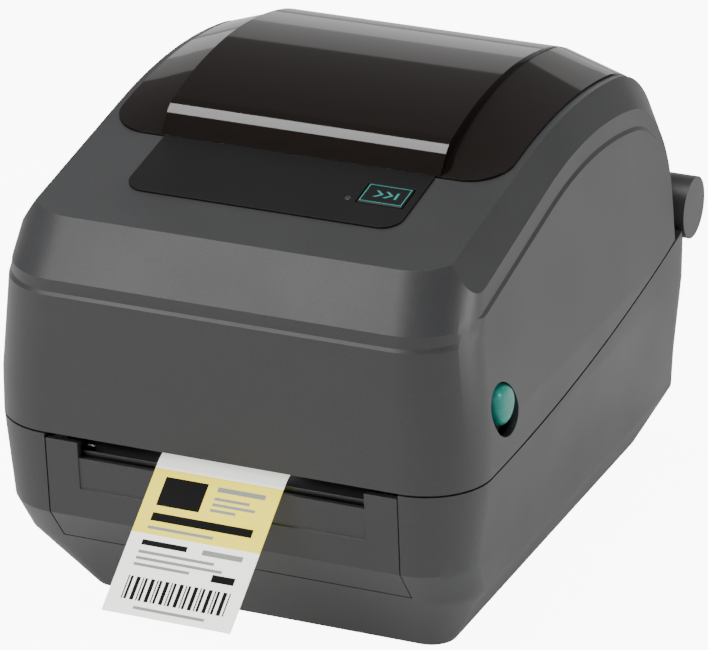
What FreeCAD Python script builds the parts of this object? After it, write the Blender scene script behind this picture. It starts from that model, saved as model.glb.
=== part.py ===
import FreeCAD, Part
import Sketcher
import math
import os

# Desktop label printer: lower case with drive and label roll, hinged cover with ribbon carriage.
# Millimetres. +Z is up, the front faces -Y, and the origin lies on the table at the middle of the
# outline, from the tip of the hanging label to the back of the hinge ears.

os.makedirs("parts", exist_ok=True)
Vector = FreeCAD.Vector
doc = FreeCAD.newDocument("label_printer")
sheet = doc.addObject("Spreadsheet::Sheet", "dims")

# Every driving size: its name, its value and what it measures. A setback is measured
# from the plane of the front face towards the back.
SIZES = [
    ("case_width", 193.0, "overall width of the case"),
    ("case_depth", 254.0, "front face to the back of the hinge ears"),
    ("wall", 3.0, "wall of the lower case"),
    ("floor_thickness", 2.5, "floor of the lower case"),
    ("foot_height", 3.0, "underside of the case above the table"),
    ("foot_radius", 7.0, "rubber foot"),
    ("foot_socket", 1.0, "depth of the foot in the case floor"),
    ("foot_inset", 14.0, "foot centre in from the edge of the underside"),
    ("rim_taper", 23.0, "underside narrower than the case, each side"),
    ("rim_setback", 40.3, "front edge of the underside"),
    ("rim_radius", 10.0, "plan corner at the underside"),
    ("chamfer_height", 33.0, "side crease above the table"),
    ("chamfer_taper", 5.5, "side crease narrower than the case, each side"),
    ("chamfer_setback", 16.0, "lower front crease"),
    ("chamfer_radius", 18.0, "plan corner at the side crease"),
    ("crease_height", 49.0, "upper front crease above the table"),
    ("crease_taper", 3.8, "case at the upper front crease, each side"),
    ("crease_setback", 3.2, "upper front crease"),
    ("crease_radius", 22.0, "plan corner at the upper front crease"),
    ("seam_height", 82.8, "lower edge of the cover at the front"),
    ("seam_gap", 0.8, "gap between case and cover"),
    ("seam_level", 24.5, "setback where the seam starts to climb"),
    ("seam_radius", 1000.0, "arc of the seam along the sides"),
    ("corner_radius", 26.0, "plan corner at the seam"),
    ("tail_gap", 2.0, "rear wall of the case before the back of the ears"),
    ("ledge_height", 99.0, "rear ledge of the case between the hinge ears"),
    ("hinge_height", 109.0, "cover hinge axis above the table"),
    ("ear_radius", 12.5, "round hinge ear"),
    ("ear_width", 12.5, "hinge ear along the axis"),
    ("ear_proud", 0.5, "hinge ear proud of the side wall"),
    ("ear_clearance", 0.7, "cover round the hinge ears"),
    ("pin_radius", 4.0, "hinge pin"),
    ("knuckle_radius", 8.0, "hinge knuckle on the cover"),
    ("knuckle_width", 16.0, "hinge knuckle along the axis"),
    ("run_fit", 0.05, "radial clearance of turning fits"),
    ("seat_fit", 0.02, "radial clearance of fixed round seats"),
    ("side_play", 0.5, "endplay beside turning pieces"),
    ("bezel_half", 70.0, "half width of the front panel"),
    ("bezel_bottom", 35.0, "lower edge of the front panel"),
    ("bezel_drop", 1.6, "top of the front panel below the case rim"),
    ("panel_gap", 0.35, "gap round the front panel"),
    ("notch_half", 57.0, "half width of the label slot"),
    ("notch_height", 73.8, "sill of the label slot"),
    ("inlay_bottom", 61.0, "lower edge of the sunk field under the slot"),
    ("inlay_depth", 0.6, "depth of the sunk field"),
    ("facet_height", 143.5, "foot of the steep front facet"),
    ("groove_drop", 6.0, "height of the set-back strip under the facet"),
    ("groove_step", 0.8, "set-back of the strip"),
    ("ridge_setback", 12.5, "ridge between facet and top"),
    ("ridge_height", 163.5, "ridge above the table"),
    ("top_slope", 0.1853063473, "rise of the sloping top per unit of depth"),
    ("crest_setback", 95.0, "end of the straight sloping top"),
    ("crest_radius", 260.0, "arc over the top"),
    ("tail_setback", 190.0, "start of the rear roundness"),
    ("tail_radius", 64.0, "rear roundness"),
    ("tail_draft", 6.0, "draft of the rear wall in degrees"),
    ("band_width", 14.5, "shoulder band in from the side of the case"),
    ("band_drop", 22.0, "fall of the shoulder band over its width"),
    ("lean_height", 100.0, "height where the cover's sides start to lean in"),
    ("side_lean", 4.0, "cover's sides leaning in at the foot of the facet"),
    ("cover_corner", 20.0, "rear plan corner of the cover"),
    ("cover_wall", 2.8, "wall of the cover"),
    ("window_front", 74.5, "front edge of the window"),
    ("window_rear", 228.0, "rear edge of the window"),
    ("window_lip", 90.0, "top of the window's front lip"),
    ("window_half", 56.0, "half width of the crowned middle"),
    ("wing_half", 79.0, "half width over the window's wings"),
    ("crown_height", 194.5, "crest of the window above the table"),
    ("crown_setback", 140.0, "crest of the window"),
    ("crown_radius", 190.0, "arc of the crown"),
    ("crown_tail", 70.0, "rear roundness of the window"),
    ("wing_shift", 10.0, "crest of the wings behind the crown's"),
    ("wing_step", 3.0, "crest of the wings under the crown's"),
    ("wing_rise", 0.8, "outer edge of the wings above the cover"),
    ("window_corner", 16.0, "plan corner of the window"),
    ("glass_wall", 2.4, "wall of the window"),
    ("glass_gap", 0.05, "joint between window and cover"),
    ("glass_seat", 4.0, "cover under the window's edge"),
    ("overlay_setback", 36.6, "front edge of the control panel"),
    ("overlay_half", 54.3, "half width of the control panel"),
    ("overlay_corner", 8.0, "rounded front corner of the control panel"),
    ("overlay_thickness", 0.8, "control panel"),
    ("button_offset", 42.0, "feed button right of the middle"),
    ("button_setback", 57.0, "middle of the feed button"),
    ("button_width", 18.0, "feed button along the width"),
    ("button_depth", 13.0, "feed button front to back"),
    ("button_proud", 0.3, "feed button above the control panel"),
    ("button_travel", 1.0, "travel of the feed button"),
    ("button_gap", 0.35, "gap round the feed button"),
    ("board_margin", 5.0, "button board beyond the button"),
    ("board_thickness", 1.6, "circuit boards"),
    ("led_offset", 29.0, "status lamp right of the middle"),
    ("led_setback", 52.4, "status lamp"),
    ("led_radius", 1.4, "status lamp"),
    ("platen_setback", 18.0, "axis of the platen roller"),
    ("platen_height", 71.5, "axis of the platen roller"),
    ("platen_radius", 8.0, "platen roller"),
    ("platen_half", 55.0, "half length of the platen roller"),
    ("shaft_radius", 3.0, "platen shaft"),
    ("bush_radius", 5.0, "platen bushing"),
    ("gear_module", 0.8, "gear module"),
    ("platen_teeth", 28, "teeth of the platen gear"),
    ("idler_teeth", 46, "teeth of the idler gear"),
    ("pinion_teeth", 15, "teeth of the motor pinion"),
    ("gear_width", 5.0, "face width of the gears"),
    ("gear_play", 0.15, "extra distance between gear axes"),
    ("drive_angle", 45.0, "gear line below the level, in degrees"),
    ("stud_radius", 3.0, "idler stud"),
    ("flange_extra", 2.0, "flanges and heads beyond their shafts"),
    ("flange_width", 1.2, "flange of the idler stud and bushings"),
    ("motor_side", 28.0, "motor body, square"),
    ("motor_length", 32.0, "motor body along its axis"),
    ("motor_shaft", 2.5, "radius of the motor shaft"),
    ("deck_half", 62.0, "half width of the label bay"),
    ("deck_plate", 3.0, "plates of the inner frame"),
    ("deck_front", 9.0, "front edge of the inner frame"),
    ("deck_step", 79.0, "front wall of the label bay"),
    ("deck_rear", 232.0, "rear end of the inner frame"),
    ("bay_floor", 39.0, "floor of the label bay above the table"),
    ("bay_wall", 60.0, "side walls of the label bay above the table"),
    ("heel_setback", 46.0, "front of the inner frame's heels"),
    ("heel_height", 16.0, "top of the heels' front edge"),
    ("chin_height", 62.0, "front lower corner of the inner frame"),
    ("guide_front", 28.0, "front edge of the label guide plate"),
    ("guide_drop", 1.0, "guide plate under the label web"),
    ("post_radius", 4.0, "screw posts in the case"),
    ("post_half", 50.0, "screw posts from the middle"),
    ("post_front", 100.0, "front screw posts"),
    ("post_rear", 220.0, "rear screw posts"),
    ("screw_radius", 1.5, "screw shank"),
    ("screw_head", 3.0, "screw head"),
    ("head_thickness", 2.0, "screw head"),
    ("screw_length", 12.0, "screw shank under the head"),
    ("web_half", 25.4, "half width of the label web"),
    ("web_thickness", 0.3, "label and liner"),
    ("web_gap", 0.3, "running gap round the web"),
    ("web_bend", 46.0, "setback where the web meets the guide plate"),
    ("droop_start", 11.0, "setback where the label starts to droop"),
    ("droop_radius", 14.0, "bend of the label over the tear bar"),
    ("droop_angle", 37.0, "hang of the label below the level, in degrees"),
    ("droop_length", 62.0, "straight hanging part of the label"),
    ("tear_front", 5.0, "front of the tear bar"),
    ("tear_width", 3.5, "tear bar front to back"),
    ("tear_height", 6.0, "tear bar"),
    ("tear_drop", 4.0, "tear bar edge under the label web"),
    ("roll_setback", 170.0, "axis of the label roll"),
    ("roll_height", 92.0, "axis of the label roll"),
    ("roll_radius", 50.0, "label roll"),
    ("core_outer", 15.0, "outer radius of the roll's core"),
    ("core_inner", 12.7, "inner radius of the roll's core"),
    ("hub_depth", 10.0, "guide hub in the core"),
    ("guide_plate", 3.0, "side plate of a roll guide"),
    ("guide_top", 22.0, "roll guide above the roll's axis"),
    ("guide_half", 26.0, "roll guide either side of the roll's axis"),
    ("foot_half", 44.0, "guide foot either side of the roll's axis"),
    ("foot_depth", 15.0, "guide foot along the rails"),
    ("foot_rise", 9.0, "guide foot"),
    ("rail_half", 38.0, "rails either side of the roll's axis"),
    ("rail_radius", 2.5, "guide rail"),
    ("rail_rise", 4.5, "rail axis above the bay floor"),
    ("soft_gap", 0.3, "gap beside loose and sliding pieces"),
    ("sensor_half", 8.0, "half width of the label sensor"),
    ("sensor_depth", 9.0, "label sensor front to back"),
    ("sensor_height", 6.0, "label sensor"),
    ("carriage_half", 52.0, "inside half width of the ribbon carriage"),
    ("carriage_plate", 2.5, "plates of the ribbon carriage"),
    ("carriage_top", 160.5, "top of the ribbon carriage"),
    ("carriage_front", 34.0, "front edge of the carriage's top plate"),
    ("carriage_rear", 86.0, "rear edge of the carriage's top plate"),
    ("carriage_tail", 126.0, "rear edge of the carriage's side plates"),
    ("nose_setback", 7.0, "front tip of the carriage's side plates"),
    ("boss_half", 46.0, "cover bosses from the middle"),
    ("boss_front", 41.0, "front cover bosses"),
    ("boss_rear", 79.0, "rear cover bosses"),
    ("supply_setback", 112.0, "axis of the ribbon supply"),
    ("supply_height", 143.0, "axis of the ribbon supply"),
    ("supply_radius", 18.0, "ribbon supply roll"),
    ("takeup_setback", 62.0, "axis of the ribbon take-up"),
    ("takeup_height", 135.0, "axis of the ribbon take-up"),
    ("takeup_radius", 14.0, "ribbon take-up roll"),
    ("spindle_radius", 4.0, "spindle journals"),
    ("spindle_body", 9.0, "spindle inside the ribbon core"),
    ("ribbon_half", 32.0, "half width of the ribbon"),
    ("ribbon_thickness", 0.2, "ribbon film"),
    ("bar_setback", 11.2, "ribbon guide bar"),
    ("bar_height", 103.0, "ribbon guide bar"),
    ("bar_radius", 2.0, "ribbon guide bar"),
    ("head_front", 13.0, "front edge of the print head"),
    ("head_depth", 22.0, "print head front to back"),
    ("head_half", 50.0, "half length of the print head"),
    ("head_plate", 3.0, "print head board"),
    ("sink_height", 12.0, "heat sink"),
    ("sink_shift", 2.0, "heat sink behind the edge of the board"),
    ("bracket_plate", 2.5, "head bracket"),
    ("pivot_setback", 48.0, "head pivot"),
    ("pivot_radius", 2.5, "head pivot"),
    ("spring_radius", 4.0, "head springs"),
    ("spring_wire", 1.0, "head spring wire"),
    ("spring_half", 30.0, "head springs from the middle"),
    ("spring_length", 9.5, "head springs"),
    ("spring_plate", 14.0, "spring plate front to back"),
    ("latch_setback", 46.0, "latch shaft"),
    ("latch_height", 116.0, "latch shaft"),
    ("latch_radius", 2.5, "latch shaft"),
    ("lever_outer", 5.5, "latch lever in from the side of the case"),
    ("lever_plate", 5.0, "latch lever"),
    ("lever_boss", 5.5, "latch lever round its shaft"),
    ("lever_arm", 4.0, "half width of the lever arm"),
    ("thumb_setback", 40.6, "middle of the thumb piece"),
    ("thumb_height", 103.2, "middle of the thumb piece"),
    ("thumb_long", 9.5, "long half axis of the thumb piece"),
    ("thumb_short", 5.8, "short half axis of the thumb piece"),
    ("thumb_proud", 0.5, "thumb piece proud of the side wall"),
    ("hole_setback", 39.4, "middle of the latch hole"),
    ("hole_height", 104.2, "middle of the latch hole"),
    ("hole_long", 14.5, "long half axis of the latch hole"),
    ("hole_short", 9.5, "short half axis of the latch hole"),
    ("hole_tilt", 40.0, "tilt of the latch hole in degrees"),
    ("hook_height", 74.0, "tip of the latch hook"),
    ("hook_nose", 6.0, "nose of the latch hook"),
    ("strike_depth", 6.0, "latch strike front to back"),
    ("strike_height", 8.0, "latch strike"),
    ("strike_gap", 0.4, "latch hook before its strike"),
    ("pcb_half", 44.0, "half width of the main board"),
    ("pcb_front", 96.0, "front edge of the main board"),
    ("pcb_rear", 244.0, "rear edge of the main board"),
    ("standoff", 6.5, "main board above the case floor"),
    ("standoff_radius", 3.0, "board standoffs"),
    ("standoff_inset", 6.0, "board standoffs in from the board's edges"),
    ("port_depth", 16.0, "rear sockets front to back"),
    ("port_gap", 0.4, "gap round the rear sockets"),
    ("port_shell", 1.2, "wall of the rear sockets"),
    ("inlet_offset", 26.0, "power socket right of the middle"),
    ("inlet_width", 16.0, "power socket"),
    ("inlet_height", 13.0, "power socket"),
    ("usb_offset", 0.0, "data socket right of the middle"),
    ("usb_width", 13.0, "data socket"),
    ("usb_height", 12.0, "data socket"),
    ("net_offset", -26.0, "network socket right of the middle"),
    ("net_width", 17.0, "network socket"),
    ("net_height", 14.0, "network socket"),
    ("switch_offset", 58.0, "power switch right of the middle"),
    ("switch_height", 26.0, "middle of the power switch"),
    ("switch_wide", 13.0, "power switch"),
    ("switch_tall", 19.0, "power switch"),
    ("switch_wall", 1.6, "wall of the switch housing"),
    ("switch_back", 7.0, "pivot of the rocker in from the rear wall"),
    ("rocker_pin", 1.2, "pivot pin of the rocker"),
    ("rocker_half", 6.0, "half height of the rocker"),
    ("rocker_proud", 1.4, "high end of the rocker behind the rear wall"),
    ("rocker_sink", 0.6, "low end of the rocker in from the rear wall"),
]
for row, (alias, value, note) in enumerate(SIZES, 1):
    sheet.set(f"A{row}", note)
    sheet.set(f"B{row}", str(value))
    sheet.setAlias(f"B{row}", alias)
doc.recompute()


class Size:
    """A number kept with the sheet expression that gives it, so that both follow the sheet."""

    def __init__(self, value, text):
        self.value = float(value)
        self.text = text

    def __float__(self):
        return self.value

    def __neg__(self):
        return Size(-self.value, f"(-1 * {self.text})")

    def __add__(self, other):
        return Size(self.value + float(other), f"({self.text} + {text_of(other)})")

    def __sub__(self, other):
        return Size(self.value - float(other), f"({self.text} - {text_of(other)})")

    def __mul__(self, other):
        return Size(self.value * float(other), f"({self.text} * {text_of(other)})")

    def __truediv__(self, other):
        return Size(self.value / float(other), f"({self.text} / {text_of(other)})")

    def __rsub__(self, other):
        return Size(float(other) - self.value, f"({text_of(other)} - {self.text})")

    __radd__ = __add__
    __rmul__ = __mul__


def text_of(value):
    return value.text if isinstance(value, Size) else str(value)


def cosine(angle):
    return Size(math.cos(math.radians(angle.value)), f"cos({angle.text} * 1 deg)")


def sine(angle):
    return Size(math.sin(math.radians(angle.value)), f"sin({angle.text} * 1 deg)")


class Dims:
    """The sheet's cells as Size values, by alias."""

    def __getattr__(self, alias):
        return Size(sheet.get(alias), f"dims.{alias}")


d = Dims()
zero = Size(0, "0")
half_width = d.case_width / 2
droop_run = d.droop_length * cosine(d.droop_angle) + (d.droop_radius + d.web_thickness) * sine(d.droop_angle)
label_reach = droop_run - d.droop_start
front_y = (label_reach - d.case_depth) / 2


def back(setback):
    return front_y + setback


case_rear = d.case_depth - d.tail_gap
hinge_y = back(d.case_depth - d.ear_radius)
case_floor = d.foot_height + d.floor_thickness
ear_outer = half_width + d.ear_proud
ear_inner = ear_outer - d.ear_width
PIECES = []


def piece(item, label):
    """Registers a finished sub-part under the name of its file."""
    item.Label = label
    PIECES.append(item)
    return item


def place(item, x, y, z):
    for axis, value in zip("xyz", (x, y, z)):
        item.setExpression(f"Placement.Base.{axis}", text_of(value))


def span(side, inner, outer):
    """An interval of X on the right (side 1) or the left (side -1) of the middle."""
    return (inner, outer) if side > 0 else (-outer, -inner)


def block(x, y, z):
    item = doc.addObject("Part::Box", "block")
    for name, (low, high) in zip(("Length", "Width", "Height"), (x, y, z)):
        item.setExpression(name, text_of(high - low))
    place(item, x[0], y[0], z[0])
    return item


def rod_x(radius, x, y, z):
    item = doc.addObject("Part::Cylinder", "rod")
    item.setExpression("Radius", text_of(radius))
    item.setExpression("Height", text_of(x[1] - x[0]))
    item.Placement.Rotation = FreeCAD.Rotation(Vector(0, 1, 0), 90)
    place(item, x[0], y, z)
    return item


def rod_z(radius, x, y, z):
    item = doc.addObject("Part::Cylinder", "post")
    item.setExpression("Radius", text_of(radius))
    item.setExpression("Height", text_of(z[1] - z[0]))
    place(item, x, y, z[0])
    return item


def join(*items):
    item = doc.addObject("Part::MultiFuse", "join")
    item.Shapes = list(items)
    item.Refine = True
    return item


def cut(base, *tools):
    item = doc.addObject("Part::Cut", "cut")
    item.Base = base
    item.Tool = tools[0] if len(tools) == 1 else join(*tools)
    item.Refine = True
    return item


def group(*items):
    item = doc.addObject("Part::Compound", "group")
    item.Links = list(items)
    return item


def formed(shape):
    """A sub-part whose shape is worked out here, for lofts, teeth and bent strips."""
    item = doc.addObject("Part::Feature", "formed")
    item.Shape = shape
    return item


def body_sketch(plane, points):
    """A body with one closed sketch of straight lines whose corners are bound to the sheet."""
    body = doc.addObject("PartDesign::Body", "body")
    sketch = body.newObject("Sketcher::SketchObject", "sketch")
    support = [item for item in body.Origin.OriginFeatures if item.Role == plane][0]
    sketch.AttachmentSupport = [(support, "")]
    sketch.MapMode = "FlatFace"
    corners = [Vector(float(a), float(b), 0) for a, b in points]
    for here, there in zip(corners, corners[1:] + corners[:1]):
        sketch.addGeometry(Part.LineSegment(here, there))
    count = len(points)
    for index in range(count):
        sketch.addConstraint(Sketcher.Constraint("Coincident", index, 2, (index + 1) % count, 1))
    for index, corner in enumerate(points):
        for kind, value in zip(("DistanceX", "DistanceY"), corner):
            row = sketch.addConstraint(Sketcher.Constraint(kind, -1, 1, index, 1, float(value)))
            sketch.setExpression(f"Constraints[{row}]", text_of(value))
    return body, sketch


def slab_x(points, x):
    """A plate with its outline in the YZ plane, between two values of X."""
    body, sketch = body_sketch("YZ_Plane", points)
    pad = body.newObject("PartDesign::Pad", "pad")
    pad.Profile = sketch
    pad.setExpression("Length", text_of(x[1] - x[0]))
    place(body, x[0], 0, 0)
    return body


def turned_x(points, y, z):
    """A turned piece: its half outline, given as (x, radius), spun round a line along X."""
    body, sketch = body_sketch("XY_Plane", points)
    spin = body.newObject("PartDesign::Revolution", "spin")
    spin.Profile = sketch
    spin.ReferenceAxis = (sketch, ["H_Axis"])
    spin.Angle = 360
    place(body, 0, y, z)
    return body


def box_shape(x, y, z):
    low = Vector(float(x[0]), float(y[0]), float(z[0]))
    return Part.makeBox(float(x[1] - x[0]), float(y[1] - y[0]), float(z[1] - z[0]), low)


def rod_shape(radius, x, y, z):
    start = Vector(float(x[0]), float(y), float(z))
    return Part.makeCylinder(float(radius), float(x[1] - x[0]), start, Vector(1, 0, 0))


def rounded_section(half, y_front, y_rear, r_front, r_rear, z):
    """A level rectangle with rounded corners, as a closed wire of four lines and four arcs."""
    corners = [
        (half - r_front, y_front + r_front, r_front, -90),
        (half - r_rear, y_rear - r_rear, r_rear, 0),
        (-half + r_rear, y_rear - r_rear, r_rear, 90),
        (-half + r_front, y_front + r_front, r_front, 180),
    ]
    arcs = []
    for x, y, radius, start in corners:
        ends = []
        for turn in (start, start + 45, start + 90):
            angle = math.radians(turn)
            ends.append(Vector(x + radius * math.cos(angle), y + radius * math.sin(angle), z))
        arcs.append(Part.Arc(*ends).toShape())
    edges = []
    for here, there in zip(arcs, arcs[1:] + arcs[:1]):
        edges.append(here)
        edges.append(Part.makeLine(here.Vertexes[-1].Point, there.Vertexes[0].Point))
    return Part.Wire(Part.__sortEdges__(edges))


def case_form(inset):
    """The lower case as a solid, drawn in by inset on all sides, running up past the seam."""
    levels = [
        (d.rim_taper, d.rim_setback, d.rim_radius, d.foot_height),
        (d.chamfer_taper, d.chamfer_setback, d.chamfer_radius, d.chamfer_height),
        (d.crease_taper, d.crease_setback, d.crease_radius, d.crease_height),
        (zero, zero, d.corner_radius, d.seam_height),
        (zero, zero, d.corner_radius, d.hinge_height + d.ear_radius),
    ]
    wires = []
    for taper, setback, radius, z in levels:
        half = float(half_width - taper) - inset
        start = float(back(setback)) + inset
        end = float(back(case_rear)) - inset
        turn = float(radius) - inset
        wires.append(rounded_section(half, start, end, turn, turn, float(z)))
    return Part.makeLoft(wires, True, True)


def above_seam(lift):
    """Everything above the seam, raised by lift: level at the front, then climbing on an arc."""
    z = float(d.seam_height) + lift
    far = float(d.case_width)
    y_start = float(back(d.seam_level))
    y_end = float(back(d.case_depth)) + far
    radius = float(d.seam_radius)
    climb = math.asin((y_end - y_start) / radius)
    top = z + far * 2
    rim = [Vector(-far, float(front_y) - far, z), Vector(-far, y_start, z)]
    tip = Vector(-far, y_end, z + radius * (1 - math.cos(climb)))
    middle = Vector(-far, y_start + radius * math.sin(climb / 2), z + radius * (1 - math.cos(climb / 2)))
    edges = [Part.makeLine(rim[0], rim[1]), Part.Arc(rim[1], middle, tip).toShape()]
    corners = [tip, Vector(-far, y_end, top), Vector(-far, rim[0].y, top), rim[0]]
    edges += [Part.makeLine(a, b) for a, b in zip(corners, corners[1:])]
    return Part.Face(Part.Wire(edges)).extrude(Vector(2 * far, 0, 0))


# Lower case: a tapered shell with floor, screw posts, board standoffs and round hinge ears.
# The front panel, the rear sockets and the switch sit in its openings.
outer_case = case_form(0)
inner_case = case_form(float(d.wall))
far_x = (-d.case_width, d.case_width)
far_y = (back(-d.case_depth), back(d.case_depth * 2))
far_z = (-d.case_depth, d.case_depth * 2)
hollow = inner_case.common(box_shape(far_x, far_y, (case_floor, far_z[1])))
shell = outer_case.cut(hollow)
seam_cut = above_seam(-float(d.seam_gap))
bezel_top = d.seam_height - d.seam_gap - d.bezel_drop
gap = d.panel_gap
bezel_zone = ((-d.bezel_half, d.bezel_half), (far_y[0], back(d.rim_setback)), (d.bezel_bottom, bezel_top))
bezel_hole = (
    (-d.bezel_half - gap, d.bezel_half + gap), bezel_zone[1], (d.bezel_bottom - gap, far_z[1]))
ledge_zone = ((-ear_inner, ear_inner), (hinge_y - d.ear_radius, far_y[1]), (d.ledge_height, far_z[1]))
case = shell.cut(seam_cut).cut(box_shape(*bezel_hole)).cut(box_shape(*ledge_zone))
ears = []
for side in (-1, 1):
    across = span(side, ear_inner, ear_outer)
    inside = span(side, ear_inner, half_width)
    stalk_y = (hinge_y - d.ear_radius + d.tail_gap, back(case_rear))
    ears.append(rod_shape(d.ear_radius, across, hinge_y, d.hinge_height))
    stalk = box_shape(inside, stalk_y, (d.seam_height, d.hinge_height))
    ears.append(stalk.common(outer_case))
posts = []
post_bores = []
for side in (-1, 1):
    for setback in (d.post_front, d.post_rear):
        foot = Vector(float(d.post_half * side), float(back(setback)), float(d.foot_height))
        rise = float(d.bay_floor - d.deck_plate - d.foot_height)
        posts.append(Part.makeCylinder(float(d.post_radius), rise, foot))
        post_bores.append(Part.makeCylinder(float(d.screw_radius + d.run_fit), rise, foot))
    for setback in (d.pcb_front + d.standoff_inset, d.pcb_rear - d.standoff_inset):
        foot = Vector(float((d.pcb_half - d.standoff_inset) * side), float(back(setback)), float(d.foot_height))
        rise = float(d.floor_thickness + d.standoff)
        posts.append(Part.makeCylinder(float(d.standoff_radius), rise, foot))
case = case.multiFuse(ears + posts)
board_top = case_floor + d.standoff + d.board_thickness
wall_zone = (back(case_rear - d.wall * 2), far_y[1])
rear_holes = []
for offset, width, height in (
        (d.inlet_offset, d.inlet_width, d.inlet_height),
        (d.usb_offset, d.usb_width, d.usb_height),
        (d.net_offset, d.net_width, d.net_height)):
    reach = width / 2 + d.port_gap
    rise = (board_top - d.port_gap, board_top + height + d.port_gap)
    rear_holes.append(box_shape((offset - reach, offset + reach), wall_zone, rise))
reach = d.switch_wide / 2 + d.seat_fit
rise = d.switch_tall / 2 + d.seat_fit
switch_x = (d.switch_offset - reach, d.switch_offset + reach)
rear_holes.append(box_shape(switch_x, wall_zone, (d.switch_height - rise, d.switch_height + rise)))
foot_spots = []
rim_half = half_width - d.rim_taper
for side in (-1, 1):
    for y in (back(d.rim_setback + d.foot_inset), back(case_rear - d.foot_inset)):
        foot_spots.append(((rim_half - d.foot_inset) * side, y))
foot_wells = []
for x, y in foot_spots:
    centre = Vector(float(x), float(y), float(d.foot_height))
    foot_wells.append(Part.makeCylinder(float(d.foot_radius + d.seat_fit), float(d.foot_socket), centre))
pin_bores = []
for side in (-1, 1):
    across = span(side, ear_inner - d.ear_width, ear_outer - d.wall)
    pin_bores.append(rod_shape(d.pin_radius + d.seat_fit, across, hinge_y, d.hinge_height))
case = case.cut(post_bores + rear_holes + foot_wells + pin_bores)
piece(formed(case), "base_case")

# Front panel: snaps into the front of the case, with the label slot and a sunk field below it.
bezel = shell.common(box_shape(*bezel_zone))
notch = ((-d.notch_half, d.notch_half), bezel_zone[1], (d.notch_height, far_z[1]))
inlay = ((-d.notch_half, d.notch_half), bezel_zone[1], (d.inlay_bottom, d.notch_height))
skin = outer_case.cut(case_form(float(d.inlay_depth)))
bezel = bezel.cut([box_shape(*notch), skin.common(box_shape(*inlay))])
piece(formed(bezel), "front_bezel")

# Rubber feet, pressed into wells in the underside.
feet = [rod_z(d.foot_radius, x, y, (zero, d.foot_height + d.foot_socket)) for x, y in foot_spots]
piece(group(*feet), "rubber_feet")

# Inner frame: side plates for the platen and drive, a guide plate at the front and the label bay.
web_level = d.platen_height + d.platen_radius + d.web_gap
deck_top = web_level - d.guide_drop
bay_under = d.bay_floor - d.deck_plate
plate_outline = [
    (back(d.deck_front), d.chin_height), (back(d.heel_setback), d.heel_height),
    (back(d.heel_setback), case_floor), (back(d.deck_step), case_floor),
    (back(d.deck_step), bay_under), (back(d.deck_rear), bay_under),
    (back(d.deck_rear), d.bay_wall), (back(d.deck_step + d.bay_wall - d.bay_floor), d.bay_wall),
    (back(d.deck_step), deck_top), (back(d.deck_front), deck_top)]
bay_across = (-d.deck_half, d.deck_half)
plate_outer = d.deck_half + d.deck_plate
step_y = back(d.deck_step)
frame_parts = [slab_x(plate_outline, span(side, d.deck_half, plate_outer)) for side in (-1, 1)]
frame_parts.append(block(bay_across, (back(d.guide_front), step_y), (deck_top - d.deck_plate, deck_top)))
frame_parts.append(block(bay_across, (step_y - d.deck_plate, step_y), (bay_under, deck_top)))
frame_parts.append(block(bay_across, (step_y - d.deck_plate, back(d.deck_rear)), (bay_under, d.bay_floor)))
frame_holes = []
platen_y = back(d.platen_setback)
through = (-plate_outer, plate_outer)
frame_holes.append(rod_x(d.bush_radius + d.seat_fit, through, platen_y, d.platen_height))
roll_y = back(d.roll_setback)
rail_z = d.bay_floor + d.rail_rise
rail_spots = [roll_y - d.rail_half, roll_y + d.rail_half]
for y in rail_spots:
    frame_holes.append(rod_x(d.rail_radius + d.seat_fit, through, y, rail_z))
screw_spots = []
for side in (-1, 1):
    for setback in (d.post_front, d.post_rear):
        screw_spots.append((d.post_half * side, back(setback)))
for x, y in screw_spots:
    frame_holes.append(rod_z(d.screw_radius + d.run_fit, x, y, (bay_under, d.bay_floor)))
pitch = d.gear_module / 2
idler_reach = (d.platen_teeth + d.idler_teeth) * pitch + d.gear_play
pinion_reach = idler_reach + (d.idler_teeth + d.pinion_teeth) * pitch + d.gear_play
idler_y = platen_y + idler_reach * cosine(d.drive_angle)
idler_z = d.platen_height - idler_reach * sine(d.drive_angle)
pinion_y = platen_y + pinion_reach * cosine(d.drive_angle)
pinion_z = d.platen_height - pinion_reach * sine(d.drive_angle)
left_plate = (-plate_outer, -d.deck_half)
frame_holes.append(rod_x(d.stud_radius + d.seat_fit, left_plate, idler_y, idler_z))
frame_holes.append(rod_x(d.motor_shaft + d.flange_extra, left_plate, pinion_y, pinion_z))
piece(cut(join(*frame_parts), *frame_holes), "media_deck")

# Platen bushings: flanged plain bearings in the side plates.
bushes = []
for side in (-1, 1):
    sleeve = rod_x(d.bush_radius, span(side, d.deck_half, plate_outer), platen_y, d.platen_height)
    flange = span(side, d.deck_half - d.flange_width, d.deck_half)
    collar = rod_x(d.bush_radius + d.flange_extra, flange, platen_y, d.platen_height)
    bore = rod_x(d.shaft_radius + d.run_fit, through, platen_y, d.platen_height)
    bushes.append(cut(join(sleeve, collar), bore))
piece(group(*bushes), "platen_bushings")

# Platen: a rubber sleeve on a steel shaft that carries the drive gear on its left end.
gear_x = (-plate_outer - d.side_play - d.gear_width, -plate_outer - d.side_play)
shaft_x = (gear_x[0] - d.side_play, plate_outer + d.flange_width)
piece(rod_x(d.shaft_radius, shaft_x, platen_y, d.platen_height), "platen_shaft")
sleeve = rod_x(d.platen_radius, (-d.platen_half, d.platen_half), platen_y, d.platen_height)
bore = rod_x(d.shaft_radius + d.seat_fit, (-d.platen_half, d.platen_half), platen_y, d.platen_height)
piece(cut(sleeve, bore), "platen_roller")


# Tooth form: its tip and root from the pitch circle in modules, its flat and foot in tooth pitches.
TOOTH_TIP = 0.9
TOOTH_ROOT = 1.2
TOOTH_FLAT = 0.2
TOOTH_FOOT = 0.62


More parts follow.
